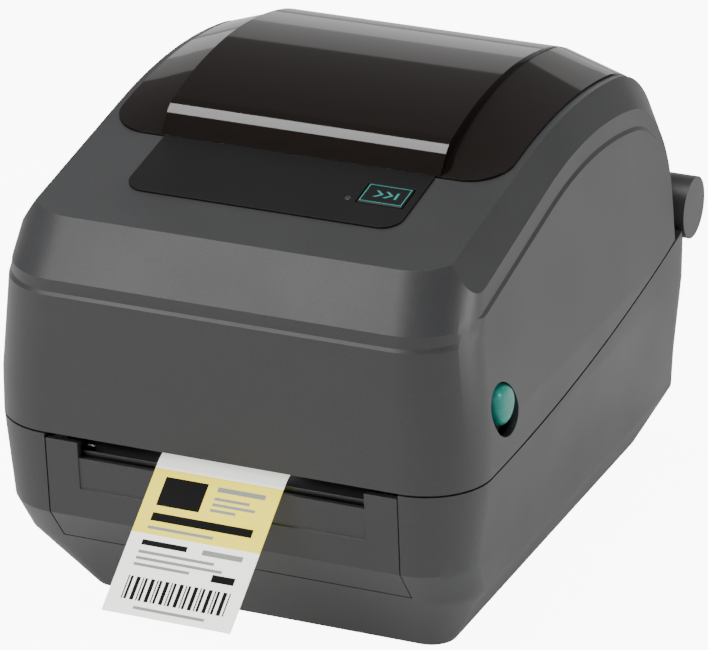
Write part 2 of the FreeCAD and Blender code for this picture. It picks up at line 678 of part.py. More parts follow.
def gear(teeth, centre_y, centre_z, bore, tooth_angle):
    """A spur gear along X with straight-sided teeth, one of them pointing along tooth_angle."""
    module = float(d.gear_module)
    count = int(float(teeth))
    pitch_radius = module * count / 2
    tip = pitch_radius + TOOTH_TIP * module
    root = pitch_radius - TOOTH_ROOT * module
    tip_half = TOOTH_FLAT * module * math.pi / 2
    root_half = TOOTH_FOOT * module * math.pi / 2
    corners = []
    for index in range(count):
        middle = math.radians(tooth_angle) + 2 * math.pi * index / count
        for radius, half in ((root, -root_half), (tip, -tip_half), (tip, tip_half), (root, root_half)):
            angle = middle + half / radius
            y = float(centre_y) + radius * math.cos(angle)
            z = float(centre_z) + radius * math.sin(angle)
            corners.append(Vector(float(gear_x[0]), y, z))
    disc = Part.Face(Part.makePolygon(corners + corners[:1])).extrude(Vector(float(d.gear_width), 0, 0))
    return disc.cut(rod_shape(bore, gear_x, centre_y, centre_z))


line_angle = -float(d.drive_angle)
idler_step = 360.0 / float(d.idler_teeth)
idler_start = line_angle + 180 + idler_step / 2
pinion_start = line_angle + 180
if int(float(d.idler_teeth)) % 2:
    pinion_start += 180.0 / float(d.pinion_teeth)
platen_gear = gear(d.platen_teeth, platen_y, d.platen_height, d.shaft_radius + d.seat_fit, line_angle)
piece(formed(platen_gear), "platen_gear")
piece(formed(gear(d.idler_teeth, idler_y, idler_z, d.stud_radius + d.run_fit, idler_start)), "idler_gear")
pinion_shape = gear(d.pinion_teeth, pinion_y, pinion_z, d.motor_shaft + d.seat_fit, pinion_start)
piece(formed(pinion_shape), "motor_pinion")

# Idler stud: riveted into the left plate, with a head that keeps the idler on.
stud_x = (gear_x[0] - d.side_play, -d.deck_half)
stud_head = (stud_x[0] - d.flange_width, stud_x[0])
stud = rod_x(d.stud_radius, stud_x, idler_y, idler_z)
piece(join(stud, rod_x(d.stud_radius + d.flange_extra, stud_head, idler_y, idler_z)), "idler_stud")

# Stepper motor on the inside of the left plate; its shaft turns with the pinion.
half_side = d.motor_side / 2
motor_x = (-d.deck_half, -d.deck_half + d.motor_length)
motor_box = block(
    motor_x, (pinion_y - half_side, pinion_y + half_side), (pinion_z - half_side, pinion_z + half_side))
shaft_end = -d.deck_half + d.motor_length / 2
motor_bore = rod_x(d.motor_shaft + d.run_fit, (motor_x[0], shaft_end + d.side_play), pinion_y, pinion_z)
piece(cut(motor_box, motor_bore), "stepper_motor")
piece(rod_x(d.motor_shaft, (gear_x[0] - d.side_play, shaft_end), pinion_y, pinion_z), "motor_shaft")

# Tear bar across the label slot, between the side plates.
tear_top = web_level - d.tear_drop
tear_y = (back(d.tear_front), back(d.tear_front + d.tear_width))
tear_outline = [
    (tear_y[0], tear_top), (tear_y[0], tear_top - d.tear_height), (tear_y[1], tear_top - d.tear_height),
    (tear_y[1], tear_top - d.tear_height / 2)]
piece(slab_x(tear_outline, bay_across), "tear_bar")

# Label sensor under the guide plate.
guide_under = deck_top - d.deck_plate
sensor_y = (back(d.guide_front + d.sensor_depth), back(d.guide_front + d.sensor_depth * 2))
sensor_z = (guide_under - d.sensor_height, guide_under)
piece(block((-d.sensor_half, d.sensor_half), sensor_y, sensor_z), "media_sensor")

# Screws: four from below into the posts, four from above through the bay floor.
case_screws = []
deck_screws = []
for x, y in screw_spots:
    head_z = (d.foot_height - d.head_thickness, d.foot_height)
    shank_z = (d.foot_height, d.foot_height + d.screw_length)
    case_screws.append(join(rod_z(d.screw_head, x, y, head_z), rod_z(d.screw_radius, x, y, shank_z)))
    head_z = (d.bay_floor, d.bay_floor + d.head_thickness)
    shank_z = (d.bay_floor - d.screw_length, d.bay_floor)
    deck_screws.append(join(rod_z(d.screw_head, x, y, head_z), rod_z(d.screw_radius, x, y, shank_z)))
piece(group(*case_screws), "case_screws")
piece(group(*deck_screws), "deck_screws")

# Roll guides: two plates on rails that hold the roll by its core.
piece(group(*[rod_x(d.rail_radius, through, y, rail_z) for y in rail_spots]), "guide_rails")
plate_start = d.web_half + d.soft_gap
plate_end = plate_start + d.guide_plate
foot_z = (d.bay_floor + d.soft_gap, d.bay_floor + d.soft_gap + d.foot_rise)
guide_outline = [
    (roll_y - d.foot_half, foot_z[0]), (roll_y + d.foot_half, foot_z[0]), (roll_y + d.foot_half, foot_z[1]),
    (roll_y + d.guide_half, d.roll_height), (roll_y + d.guide_half / 2, d.roll_height + d.guide_top),
    (roll_y - d.guide_half / 2, d.roll_height + d.guide_top), (roll_y - d.guide_half, d.roll_height),
    (roll_y - d.foot_half, foot_z[1])]
for side, name in ((-1, "roll_guide_left"), (1, "roll_guide_right")):
    plate = slab_x(guide_outline, span(side, plate_start, plate_end))
    foot_y = (roll_y - d.foot_half, roll_y + d.foot_half)
    foot = block(span(side, plate_start, plate_start + d.foot_depth), foot_y, foot_z)
    hub_x = span(side, d.web_half - d.hub_depth, plate_start)
    hub = rod_x(d.core_inner - d.soft_gap, hub_x, roll_y, d.roll_height)
    bores = [rod_x(d.rail_radius + d.run_fit, through, y, rail_z) for y in rail_spots]
    piece(cut(join(plate, foot, hub), *bores), name)

# Label roll: labels wound on a cardboard core.
web_across = (-d.web_half, d.web_half)
winding = rod_x(d.roll_radius, web_across, roll_y, d.roll_height)
piece(cut(winding, rod_x(d.core_outer, web_across, roll_y, d.roll_height)), "label_roll")
core = rod_x(d.core_outer, web_across, roll_y, d.roll_height)
piece(cut(core, rod_x(d.core_inner, web_across, roll_y, d.roll_height)), "roll_core")


def tangent(start, centre, radius, side):
    """The point where a strip from start lies on a round of that radius; side 1 is its upper side."""
    run = Vector(0, centre[0] - start[0], centre[1] - start[1])
    angle = math.atan2(run.z, run.y) + side * math.asin(radius / run.Length)
    length = math.sqrt(run.Length ** 2 - radius ** 2)
    return start[0] + length * math.cos(angle), start[1] + length * math.sin(angle)


def strip(edges, thickness, half):
    """A bent strip: a path in the YZ plane given its thickness and its width along X."""
    path = Part.Wire(edges)
    face = path.makeOffset2D(thickness, 0, True, True)
    solid = face.extrude(Vector(2 * half, 0, 0))
    solid.translate(Vector(-half, 0, 0))
    return solid


def run_edges(points):
    corners = [Vector(0, y, z) for y, z in points]
    return [Part.makeLine(a, b) for a, b in zip(corners, corners[1:])]


# Label web: from the top of the roll over the guide plate and the platen, out of the slot, where
# the printed label bends over the tear bar and hangs.
level = float(web_level)
bend = (float(back(d.web_bend)), level)
roll_axis = (float(roll_y), float(d.roll_height))
roll_touch = tangent(bend, roll_axis, float(d.roll_radius + d.web_gap + d.web_thickness), 1)
droop = math.radians(float(d.droop_angle))
bend_radius = float(d.droop_radius)
brink = float(back(d.droop_start))


def droop_point(angle):
    return brink - bend_radius * math.sin(angle), level - bend_radius * (1 - math.cos(angle))


over = droop_point(droop)
length = float(d.droop_length)
label_tip = (over[0] - length * math.cos(droop), over[1] - length * math.sin(droop))
arc_points = [Vector(0, *point) for point in ((brink, level), droop_point(droop / 2), over)]
web_edges = run_edges([roll_touch, bend, (brink, level)])
web_edges.append(Part.Arc(*arc_points).toShape())
web_edges += run_edges([over, label_tip])
web = strip(web_edges, float(d.web_thickness), float(d.web_half))
piece(formed(web), "label_strip")

# Main board on standoffs, with the sockets on its rear edge.
board_y = (back(d.pcb_front), back(d.pcb_rear))
board_z = (case_floor + d.standoff, board_top)
piece(block((-d.pcb_half, d.pcb_half), board_y, board_z), "main_board")
port_y = (back(case_rear - d.port_depth), back(case_rear))


def socket(offset, width, height):
    """A rear socket: a box on the board, hollow towards the back."""
    reach = width / 2
    shell_box = block((offset - reach, offset + reach), port_y, (board_top, board_top + height))
    inside = reach - d.port_shell
    hole_z = (board_top + d.port_shell, board_top + height - d.port_shell)
    hole_y = (port_y[0] + d.port_shell, port_y[1])
    return cut(shell_box, block((offset - inside, offset + inside), hole_y, hole_z))


piece(socket(d.inlet_offset, d.inlet_width, d.inlet_height), "power_inlet")
piece(socket(d.usb_offset, d.usb_width, d.usb_height), "usb_port")
piece(socket(d.net_offset, d.net_width, d.net_height), "ethernet_port")

# Power switch: a housing in the rear wall and a rocker whose pin turns in its cheeks.
half_wide = d.switch_wide / 2
half_tall = d.switch_tall / 2
switch_across = (d.switch_offset - half_wide, d.switch_offset + half_wide)
switch_y = (back(case_rear - d.switch_back * 2), back(case_rear))
switch_z = (d.switch_height - half_tall, d.switch_height + half_tall)
housing = block(switch_across, switch_y, switch_z)
well = block(
    (switch_across[0] + d.switch_wall, switch_across[1] - d.switch_wall),
    (switch_y[0] + d.switch_wall, switch_y[1]),
    (switch_z[0] + d.switch_wall, switch_z[1] - d.switch_wall))
rocker_y = back(case_rear - d.switch_back)
pin_bore = rod_x(d.rocker_pin + d.run_fit, switch_across, rocker_y, d.switch_height)
piece(cut(housing, well, pin_bore), "power_switch")
rocker_x = (switch_across[0] + d.switch_wall + d.soft_gap, switch_across[1] - d.switch_wall - d.soft_gap)
rocker_z = (d.switch_height - d.rocker_half, d.switch_height + d.rocker_half)
rocker_face = back(case_rear)
rocker_outline = [
    (rocker_y, rocker_z[0]), (rocker_face - d.rocker_sink, rocker_z[0]),
    (rocker_face - d.rocker_sink, d.switch_height), (rocker_face + d.rocker_proud, rocker_z[1]),
    (rocker_y, rocker_z[1])]
rocker_pin = rod_x(d.rocker_pin, switch_across, rocker_y, d.switch_height)
piece(join(slab_x(rocker_outline, rocker_x), rocker_pin), "power_rocker")

# Hinge pins, fixed in the ears.
pins = []
knuckle_outer = ear_inner - d.side_play
knuckle_inner = knuckle_outer - d.knuckle_width
for side in (-1, 1):
    pins.append(rod_x(d.pin_radius, span(side, knuckle_inner, ear_outer - d.wall), hinge_y, d.hinge_height))
piece(group(*pins), "hinge_pins")


top_slope = float(d.top_slope)
top_angle = math.atan(top_slope)


def top_height(setback):
    return d.ridge_height + (setback - d.ridge_setback) * d.top_slope


def profile_points(offset, ridge_y, ridge_z):
    """Corner and arc points of the cover's side outline, drawn in by offset from the top."""
    slope = top_angle
    shift_y, shift_z = offset * math.sin(slope), -offset * math.cos(slope)
    start_y = float(back(d.crest_setback))
    start_z = float(top_height(d.crest_setback))
    crest = float(d.crest_radius)
    centre = (start_y + crest * math.sin(slope), start_z - crest * math.cos(slope))
    fall = math.asin((float(back(d.tail_setback)) - centre[0]) / crest)
    tail = float(d.tail_radius)
    reach = crest - tail
    hub = (centre[0] + reach * math.sin(fall), centre[1] + reach * math.cos(fall))
    end = math.radians(90 - float(d.tail_draft))

    def on(middle, radius, angle):
        return middle[0] + (radius - offset) * math.sin(angle), middle[1] + (radius - offset) * math.cos(angle)

    line = [(ridge_y, ridge_z), (start_y + shift_y, start_z + shift_z)]
    crest_arc = [line[-1], on(centre, crest, (fall - slope) / 2), on(centre, crest, fall)]
    tail_arc = [crest_arc[-1], on(hub, tail, (fall + end) / 2), on(hub, tail, end)]
    return line, crest_arc, tail_arc


def cover_profile(offset, x, drop):
    """Side outline of the cover at one value of X, as a closed wire lowered by drop."""
    lead_y = float(front_y - d.ridge_setback)
    low = float(d.foot_height)
    lead_z = float(top_height(-d.ridge_setback)) - offset / math.cos(top_angle)
    line, crest_arc, tail_arc = profile_points(offset, lead_y, lead_z)
    last = tail_arc[-1]
    drift = math.tan(math.radians(float(d.tail_draft))) * (last[1] - low)

    def at(point):
        return Vector(x, point[0], point[1] - drop)

    corners = [(lead_y, low), line[0], line[1]]
    edges = [Part.makeLine(at(a), at(b)) for a, b in zip(corners, corners[1:])]
    edges.append(Part.Arc(*[at(point) for point in crest_arc]).toShape())
    edges.append(Part.Arc(*[at(point) for point in tail_arc]).toShape())
    closing = [last, (last[0] + drift, low), corners[0]]
    edges += [Part.makeLine(at(a), at(b)) for a, b in zip(closing, closing[1:])]
    return Part.Wire(edges)


def cover_roof(drop):
    """The cover seen from the side, full width, with the shoulder band falling at both sides."""
    edge = float(half_width)
    inner = edge - float(d.band_width)
    fall = float(d.band_drop)
    sections = [(-edge, fall), (-inner, 0.0), (inner, 0.0), (edge, fall)]
    wires = [cover_profile(offset, x, drop) for x, offset in sections]
    return Part.makeLoft(wires, True, True)


def cover_plan(inset, drop):
    """The cover seen from above, drawn in by inset: upright walls with the front facet above them.
    The facet leans back round both front corners and starts lower by drop."""
    start = float(front_y) + inset
    end = float(hinge_y + d.knuckle_radius) - inset
    turns = float(d.corner_radius) - inset, float(d.cover_corner) - inset
    foot_z = float(d.facet_height) - drop
    rise = float(d.crown_height - d.facet_height)
    lean = rise * float(d.ridge_setback) / float(d.ridge_height - d.facet_height)
    half = float(half_width) - inset
    knee = float(d.lean_height)
    leaning = float(d.side_lean) / (float(d.facet_height) - knee)
    top_z = foot_z + rise
    levels = [
        (half, start, float(d.foot_height)), (half, start, knee),
        (half - leaning * (foot_z - knee), start, foot_z),
        (half - leaning * (top_z - knee), start + lean, top_z)]
    wires = [rounded_section(across, y, end, *turns, z) for across, y, z in levels]
    return Part.makeLoft(wires, True, True)


# Cover: a deep moulded lid. Its side walls end at the seam, a set-back strip runs round under the
# facet and the shoulder band, and its top is open under the window.
roof = cover_roof(0)
lower = cover_plan(0, float(d.groove_drop)).common(cover_roof(float(d.groove_drop)))
upper = cover_plan(float(d.groove_step), 0).common(roof)
cover_solid = lower.fuse(upper)
cover_hollow = cover_plan(float(d.cover_wall), 0).common(cover_roof(float(d.cover_wall)))
keep = above_seam(0).fuse(box_shape(
    (-ear_inner, ear_inner), (hinge_y - d.ear_radius, far_y[1]), (d.ledge_height + d.seam_gap, far_z[1])))
cover = cover_solid.cut(cover_hollow).common(keep)


carriage_z = d.carriage_top
boss_spots = []
for side in (-1, 1):
    for setback in (d.boss_front, d.boss_rear):
        boss_spots.append((d.boss_half * side, back(setback)))
bosses = []
boss_bores = []
inner_roof = cover_roof(float(d.cover_wall) / 2)
for x, y in boss_spots:
    foot = Vector(float(x), float(y), float(carriage_z))
    rise = float(d.crown_height - carriage_z)
    bosses.append(Part.makeCylinder(float(d.post_radius), rise, foot).common(inner_roof))
    boss_bores.append(Part.makeCylinder(float(d.screw_radius + d.run_fit), float(d.screw_length / 2), foot))
knuckles = []
for side in (-1, 1):
    across = span(side, knuckle_inner, knuckle_outer)
    knuckles.append(rod_shape(d.knuckle_radius, across, hinge_y, d.hinge_height))
    boss_bores.append(rod_shape(d.pin_radius + d.run_fit, across, hinge_y, d.hinge_height))
cover = cover.multiFuse(bosses + knuckles)
reliefs = []
for side in (-1, 1):
    across = span(side, ear_inner - d.side_play, far_x[1])
    reliefs.append(rod_shape(d.ear_radius + d.ear_clearance, across, hinge_y, d.hinge_height))
    below = (far_z[0], d.hinge_height)
    reliefs.append(box_shape(across, (hinge_y - d.ear_radius - d.ear_clearance, far_y[1]), below))
seat = d.glass_wall + d.glass_seat
well_half = d.wing_half - seat
well_y = (back(d.window_front + seat), back(d.window_rear - seat))
well = box_shape((-well_half, well_half), well_y, (d.hinge_height + d.ear_radius, far_z[1]))


def oval(long_axis, short_axis, y, z, x):
    """An elliptical prism along X, its long axis falling towards the back."""
    tilt = math.radians(float(d.hole_tilt))
    centre = Vector(float(x[0]), float(y), float(z))
    along = Vector(0, math.cos(tilt), -math.sin(tilt)) * float(long_axis)
    aside = Vector(0, math.sin(tilt), math.cos(tilt)) * float(short_axis)
    edge = Part.Ellipse(centre + along, centre + aside, centre).toShape()
    return Part.Face(Part.Wire(edge)).extrude(Vector(float(x[1] - x[0]), 0, 0))


latch_holes = oval(d.hole_long, d.hole_short, back(d.hole_setback), d.hole_height, far_x)
slope_turn = FreeCAD.Rotation(Vector(1, 0, 0), math.degrees(top_angle))


def on_slope(shape, x, setback):
    """Moves a shape drawn about the origin onto the sloping top, at its outer surface."""
    spot = Vector(float(x), float(back(setback)), float(top_height(setback)))
    shape.Placement = FreeCAD.Placement(spot, slope_turn)
    return shape


def centred(width, depth, z):
    return box_shape((-width / 2, width / 2), (-depth / 2, depth / 2), z)


deep = (-d.cover_wall * 2, d.cover_wall * 2)
button_hole = (d.button_width + d.button_gap * 2, d.button_depth + d.button_gap * 2)
button_well = on_slope(centred(*button_hole, deep), d.button_offset, d.button_setback)
led_start = Vector(0, 0, float(deep[0]))
led_well = Part.makeCylinder(float(d.led_radius + d.seat_fit), float(deep[1] - deep[0]), led_start)
on_slope(led_well, d.led_offset, d.led_setback)
cover = cover.cut(boss_bores + reliefs + [well, latch_holes, button_well, led_well])
piece(formed(cover), "top_cover")


def window_form(inset):
    """The window's crowned middle and its two wings as one solid, drawn in by inset."""
    low = float(d.hinge_height + d.ear_radius)
    start, end = float(back(d.window_front)) + inset, float(back(d.window_rear)) - inset
    lip = float(back(d.window_lip)) + inset
    fall_y = float(back(d.tail_setback))

    def closed(x, points):
        line, crown, tail = points

        def at(point):
            return Vector(x, *point)

        edges = [Part.makeLine(at((start, low)), at(line[0])), Part.makeLine(at(line[0]), at(line[1]))]
        edges.append(Part.Arc(*[at(point) for point in crown]).toShape())
        edges.append(Part.Arc(*[at(point) for point in tail]).toShape())
        edges.append(Part.makeLine(at(tail[-1]), at((end, low))))
        edges.append(Part.makeLine(at((end, low)), at((start, low))))
        return Part.Wire(edges)

    def arched(top_y, top_z):
        radius, rear = float(d.crown_radius), float(d.crown_tail)
        centre = (top_y, top_z - radius)
        fall = math.asin((fall_y - top_y) / radius)
        hub = (centre[0] + (radius - rear) * math.sin(fall), centre[1] + (radius - rear) * math.cos(fall))

        def over(middle, size, y):
            return y, middle[1] + math.sqrt((size - inset) ** 2 - (y - middle[0]) ** 2)

        joint = centre[0] + (radius - inset) * math.sin(fall)
        foot_z = float(top_height(d.window_front) + d.wing_rise) - inset
        line = [(start, foot_z), over(centre, radius, lip)]
        crown = [line[1], over(centre, radius, (lip + joint) / 2), over(centre, radius, joint)]
        tail = [crown[-1], over(hub, rear, (joint + end) / 2), over(hub, rear, end)]
        return line, crown, tail

    rise = float(d.wing_rise) - inset
    edge_line, edge_crown, edge_tail = profile_points(-rise, 0, 0)
    tail_top = float(d.tail_radius) + rise
    hub_end = edge_tail[0]
    fall = math.asin((fall_y - edge_line[1][0]) / float(d.crest_radius)) - top_angle
    hub = (hub_end[0] - tail_top * math.sin(fall), hub_end[1] - tail_top * math.cos(fall))

    def edge_over(y):
        return y, hub[1] + math.sqrt(tail_top ** 2 - (y - hub[0]) ** 2)

    first = (start, float(top_height(d.window_front)) + rise + inset * top_slope)
    edge_tail = [hub_end, edge_over((hub_end[0] + end) / 2), edge_over(end)]
    edge_points = ([first, edge_line[1]], edge_crown, edge_tail)
    middle = arched(float(back(d.crown_setback)), float(d.crown_height))
    shoulder_y = float(back(d.crown_setback + d.wing_shift))
    shoulder = arched(shoulder_y, float(d.crown_height - d.wing_step))
    inner, outer = float(d.window_half) - inset, float(d.wing_half) - inset
    crowned = Part.Face(closed(-inner, middle)).extrude(Vector(2 * inner, 0, 0))
    wings = [crowned]
    for side in (-1, 1):
        pair = [closed(side * outer, edge_points), closed(side * inner, shoulder)]
        wings.append(Part.makeLoft(pair if side < 0 else pair[::-1], True, True))
    turn = float(d.window_corner) - inset
    plan = Part.Face(rounded_section(outer, start, end, turn, turn, low))
    return wings[0].multiFuse(wings[1:]).common(plan.extrude(Vector(0, 0, float(d.crown_height))))


# Window: a smoked cap over the top, seated on the cover all round its edge.
bed = cover_plan(float(d.groove_step), 0).common(cover_roof(-float(d.glass_gap)))
window = window_form(0).cut(window_form(float(d.glass_wall))).cut(bed)
piece(formed(window), "cover_window")

# Control panel: a thin plate on the sloping top, with openings for the button and the lamp.
panel_end = d.window_front - d.glass_gap
panel_depth = (panel_end - d.overlay_setback) / math.cos(top_angle)
corner = float(d.overlay_corner)
square = float(d.overlay_thickness)
outline = rounded_section(float(d.overlay_half), 0, float(panel_depth), corner, square, 0)
panel = Part.Face(outline).extrude(Vector(0, 0, float(d.overlay_thickness)))
on_slope(panel, zero, d.overlay_setback)
piece(formed(panel.cut([button_well, led_well])), "control_overlay")

# Feed button and status lamp in the control panel, with their board under the top wall.
cap_top = d.overlay_thickness + d.button_proud
wall_under = -d.cover_wall
cap = centred(d.button_width, d.button_depth, (wall_under + d.button_travel + d.run_fit, cap_top))
piece(formed(on_slope(cap, d.button_offset, d.button_setback)), "feed_button")
lamp_start = Vector(0, 0, float(wall_under))
lamp = Part.makeCylinder(float(d.led_radius), float(d.overlay_thickness - wall_under), lamp_start)
piece(formed(on_slope(lamp, d.led_offset, d.led_setback)), "status_led")
board_size = (d.button_width + d.board_margin * 4, d.button_depth + d.board_margin)
board_top_z = wall_under - d.run_fit
board = centred(*board_size, (board_top_z - d.board_thickness, board_top_z))
board_spot = (d.button_offset + d.led_offset) / 2
piece(formed(on_slope(board, board_spot, d.button_setback)), "button_board")

# Ribbon carriage: side plates and a top plate under the cover bosses, with a plate for the springs.
supply_y, takeup_y = back(d.supply_setback), back(d.takeup_setback)
pivot_y = back(d.pivot_setback)
ribbon_level = web_level + d.web_thickness + d.web_gap
head_under = ribbon_level + d.ribbon_thickness + d.web_gap
bracket_z = head_under + d.head_plate + d.sink_height
pivot_z = bracket_z + d.bracket_plate + d.pivot_radius / 2
spring_top = bracket_z + d.bracket_plate + d.spring_length
rim_low = pivot_z - d.pivot_radius * 2
bar_y = back(d.bar_setback)
side_outline = [
    (back(d.nose_setback), d.bar_height - d.bar_radius * 3),
    (pivot_y + d.pivot_radius * 3, rim_low), (takeup_y, d.bar_height),
    (supply_y - d.supply_radius, d.supply_height - d.supply_radius),
    (back(d.carriage_tail), d.supply_height - d.supply_radius + d.carriage_plate),
    (back(d.carriage_tail), carriage_z - d.carriage_plate), (back(d.carriage_rear), carriage_z),
    (back(d.carriage_front), carriage_z), (back(d.nose_setback), d.bar_height + d.bar_radius * 3)]
plate_far = d.carriage_half + d.carriage_plate
carriage_x = (-plate_far, plate_far)
carriage_parts = [slab_x(side_outline, span(side, d.carriage_half, plate_far)) for side in (-1, 1)]
top_y = (back(d.carriage_front), back(d.carriage_rear))
carriage_parts.append(block(carriage_x, top_y, (carriage_z - d.carriage_plate, carriage_z)))
spring_y = back(d.head_front + d.sink_shift + d.head_depth) - d.spring_radius
plate_y = (spring_y - d.spring_plate / 2, spring_y + d.spring_plate / 2)
carriage_parts.append(block(carriage_x, plate_y, (spring_top, spring_top + d.carriage_plate)))
carriage_holes = [
    rod_x(d.spindle_radius + d.run_fit, carriage_x, supply_y, d.supply_height),
    rod_x(d.spindle_radius + d.run_fit, carriage_x, takeup_y, d.takeup_height),
    rod_x(d.bar_radius + d.seat_fit, carriage_x, bar_y, d.bar_height),
    rod_x(d.pivot_radius + d.run_fit, carriage_x, pivot_y, pivot_z),
    rod_x(d.latch_radius + d.run_fit, carriage_x, back(d.latch_setback), d.latch_height)]
for x, y in boss_spots:
    carriage_holes.append(rod_z(d.screw_radius + d.run_fit, x, y, (carriage_z - d.carriage_plate, carriage_z)))
piece(cut(join(*carriage_parts), *carriage_holes), "carriage_frame")
piece(rod_x(d.bar_radius, carriage_x, bar_y, d.bar_height), "ribbon_guide_bar")

# Carriage screws, from below into the cover bosses.
cover_screws = []
for x, y in boss_spots:
    under = carriage_z - d.carriage_plate
    shank = rod_z(d.screw_radius, x, y, (under, under + d.screw_length / 2))
    cover_screws.append(join(rod_z(d.screw_head, x, y, (under - d.head_thickness, under)), shank))
piece(group(*cover_screws), "cover_screws")

# Ribbon spindles and rolls: each roll is a film winding on a spindle that turns in the side plates.
ribbon_x = (-d.ribbon_half, d.ribbon_half)
for name, y, z, radius in (
        ("supply", supply_y, d.supply_height, d.supply_radius),
        ("takeup", takeup_y, d.takeup_height, d.takeup_radius)):
    shoulder = d.carriage_half - d.side_play
    half_outline = [
        (-plate_far, zero), (-plate_far, d.spindle_radius), (-shoulder, d.spindle_radius),
        (-shoulder, d.spindle_body), (shoulder, d.spindle_body), (shoulder, d.spindle_radius),
        (plate_far, d.spindle_radius), (plate_far, zero)]
    piece(turned_x(half_outline, y, z), f"ribbon_{name}_spindle")
    film = rod_x(radius, ribbon_x, y, z)
    piece(cut(film, rod_x(d.spindle_body + d.seat_fit, ribbon_x, y, z)), f"ribbon_{name}_roll")

# Ribbon film: from under the supply roll, below the print head and round the bar to the take-up.
film_z = float(ribbon_level)
thickness = float(d.ribbon_thickness)
clear = float(d.web_gap) + thickness
heel = (float(back(d.head_front + d.head_depth + d.sink_shift)), film_z)
toe = (float(back(d.bar_setback)) - float(d.bar_radius) - clear, film_z)
bar_edge = (toe[0], float(d.bar_height + d.bar_radius))
supply_touch = tangent(heel, (float(supply_y), float(d.supply_height)), float(d.supply_radius) + clear, -1)
takeup_touch = tangent(bar_edge, (float(takeup_y), float(d.takeup_height)), float(d.takeup_radius) + clear, 1)
film_edges = run_edges([supply_touch, heel, toe, bar_edge, takeup_touch])
piece(formed(strip(film_edges, thickness, float(d.ribbon_half))), "ribbon_film")

# Print head: board and heat sink under a bracket that pivots in the carriage, pressed by springs.
head_across = (-d.head_half, d.head_half)
head_y = (back(d.head_front), back(d.head_front + d.head_depth))
sink_y = (head_y[0] + d.sink_shift, head_y[1] + d.sink_shift)
sink_z = (head_under + d.head_plate, bracket_z)
piece(block(head_across, head_y, (head_under, sink_z[0])), "print_head")
piece(block(head_across, sink_y, sink_z), "heat_sink")
bracket = block(head_across, (sink_y[0], pivot_y), (bracket_z, bracket_z + d.bracket_plate))
piece(join(bracket, rod_x(d.pivot_radius, carriage_x, pivot_y, pivot_z)), "head_bracket")
springs = []
for side in (-1, 1):
    spring_z = (spring_top - d.spring_length, spring_top)
    tube = rod_z(d.spring_radius, d.spring_half * side, spring_y, spring_z)
    springs.append(cut(tube, rod_z(d.spring_radius - d.spring_wire, d.spring_half * side, spring_y, spring_z)))
piece(group(*springs), "head_springs")

# Latch: a shaft in the carriage with a lever at each end, whose thumb piece shows in the side
# of the cover and whose hook stands before a strike in the case.
latch_y = back(d.latch_setback)
lever_far = half_width - d.lever_outer
lever_near = lever_far - d.lever_plate
piece(rod_x(d.latch_radius, (-lever_far, lever_far), latch_y, d.latch_height), "latch_shaft")
thumb_y = back(d.thumb_setback)
hook_z = d.hook_height
lever_outline = [
    (latch_y - d.lever_arm, hook_z), (latch_y + d.hook_nose, hook_z),
    (latch_y + d.lever_arm, hook_z + d.hook_nose),
    (latch_y + d.lever_arm, d.latch_height), (latch_y - d.lever_arm, d.latch_height),
    (thumb_y - d.lever_arm, d.thumb_height), (latch_y - d.lever_arm, d.thumb_height - d.thumb_long)]
for side, name in ((-1, "latch_lever_left"), (1, "latch_lever_right")):
    lever_x = span(side, lever_near, lever_far)
    arm = slab_x(lever_outline, lever_x)
    boss = rod_x(d.lever_boss, lever_x, latch_y, d.latch_height)
    thumb_x = span(side, lever_far, half_width + d.thumb_proud)
    thumb = formed(oval(d.thumb_long, d.thumb_short, thumb_y, d.thumb_height, thumb_x))
    bore = rod_x(d.latch_radius + d.seat_fit, lever_x, latch_y, d.latch_height)
    piece(cut(join(arm, boss, thumb), bore), name)

# Strikes: blocks on the side walls of the case, just behind the hooks.
strikes = []
strike_y = latch_y + d.hook_nose + d.strike_gap
for side in (-1, 1):
    zone = box_shape(
        span(side, lever_near, half_width),
        (strike_y, strike_y + d.strike_depth),
        (d.hook_height - d.strike_height / 2, d.hook_height + d.strike_height / 2))
    strikes.append(zone.common(inner_case))
piece(formed(Part.makeCompound(strikes)), "latch_strikes")

doc.recompute()
for item in doc.Objects:
    if "Invalid" in item.State or "Error" in item.State:
        raise RuntimeError(f"{item.Name} ({item.Label}) failed: {item.State}")
for item in PIECES:
    if item.Shape.isNull() or not item.Shape.isValid():
        raise RuntimeError(f"{item.Label} has no valid shape")
for item in PIECES:
    item.Shape.exportStep(f"parts/{item.Label}.step")
    print(item.Label, len(item.Shape.Solids), round(item.Shape.Volume))
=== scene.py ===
import bpy
import bmesh
import math
from mathutils import Vector, Matrix


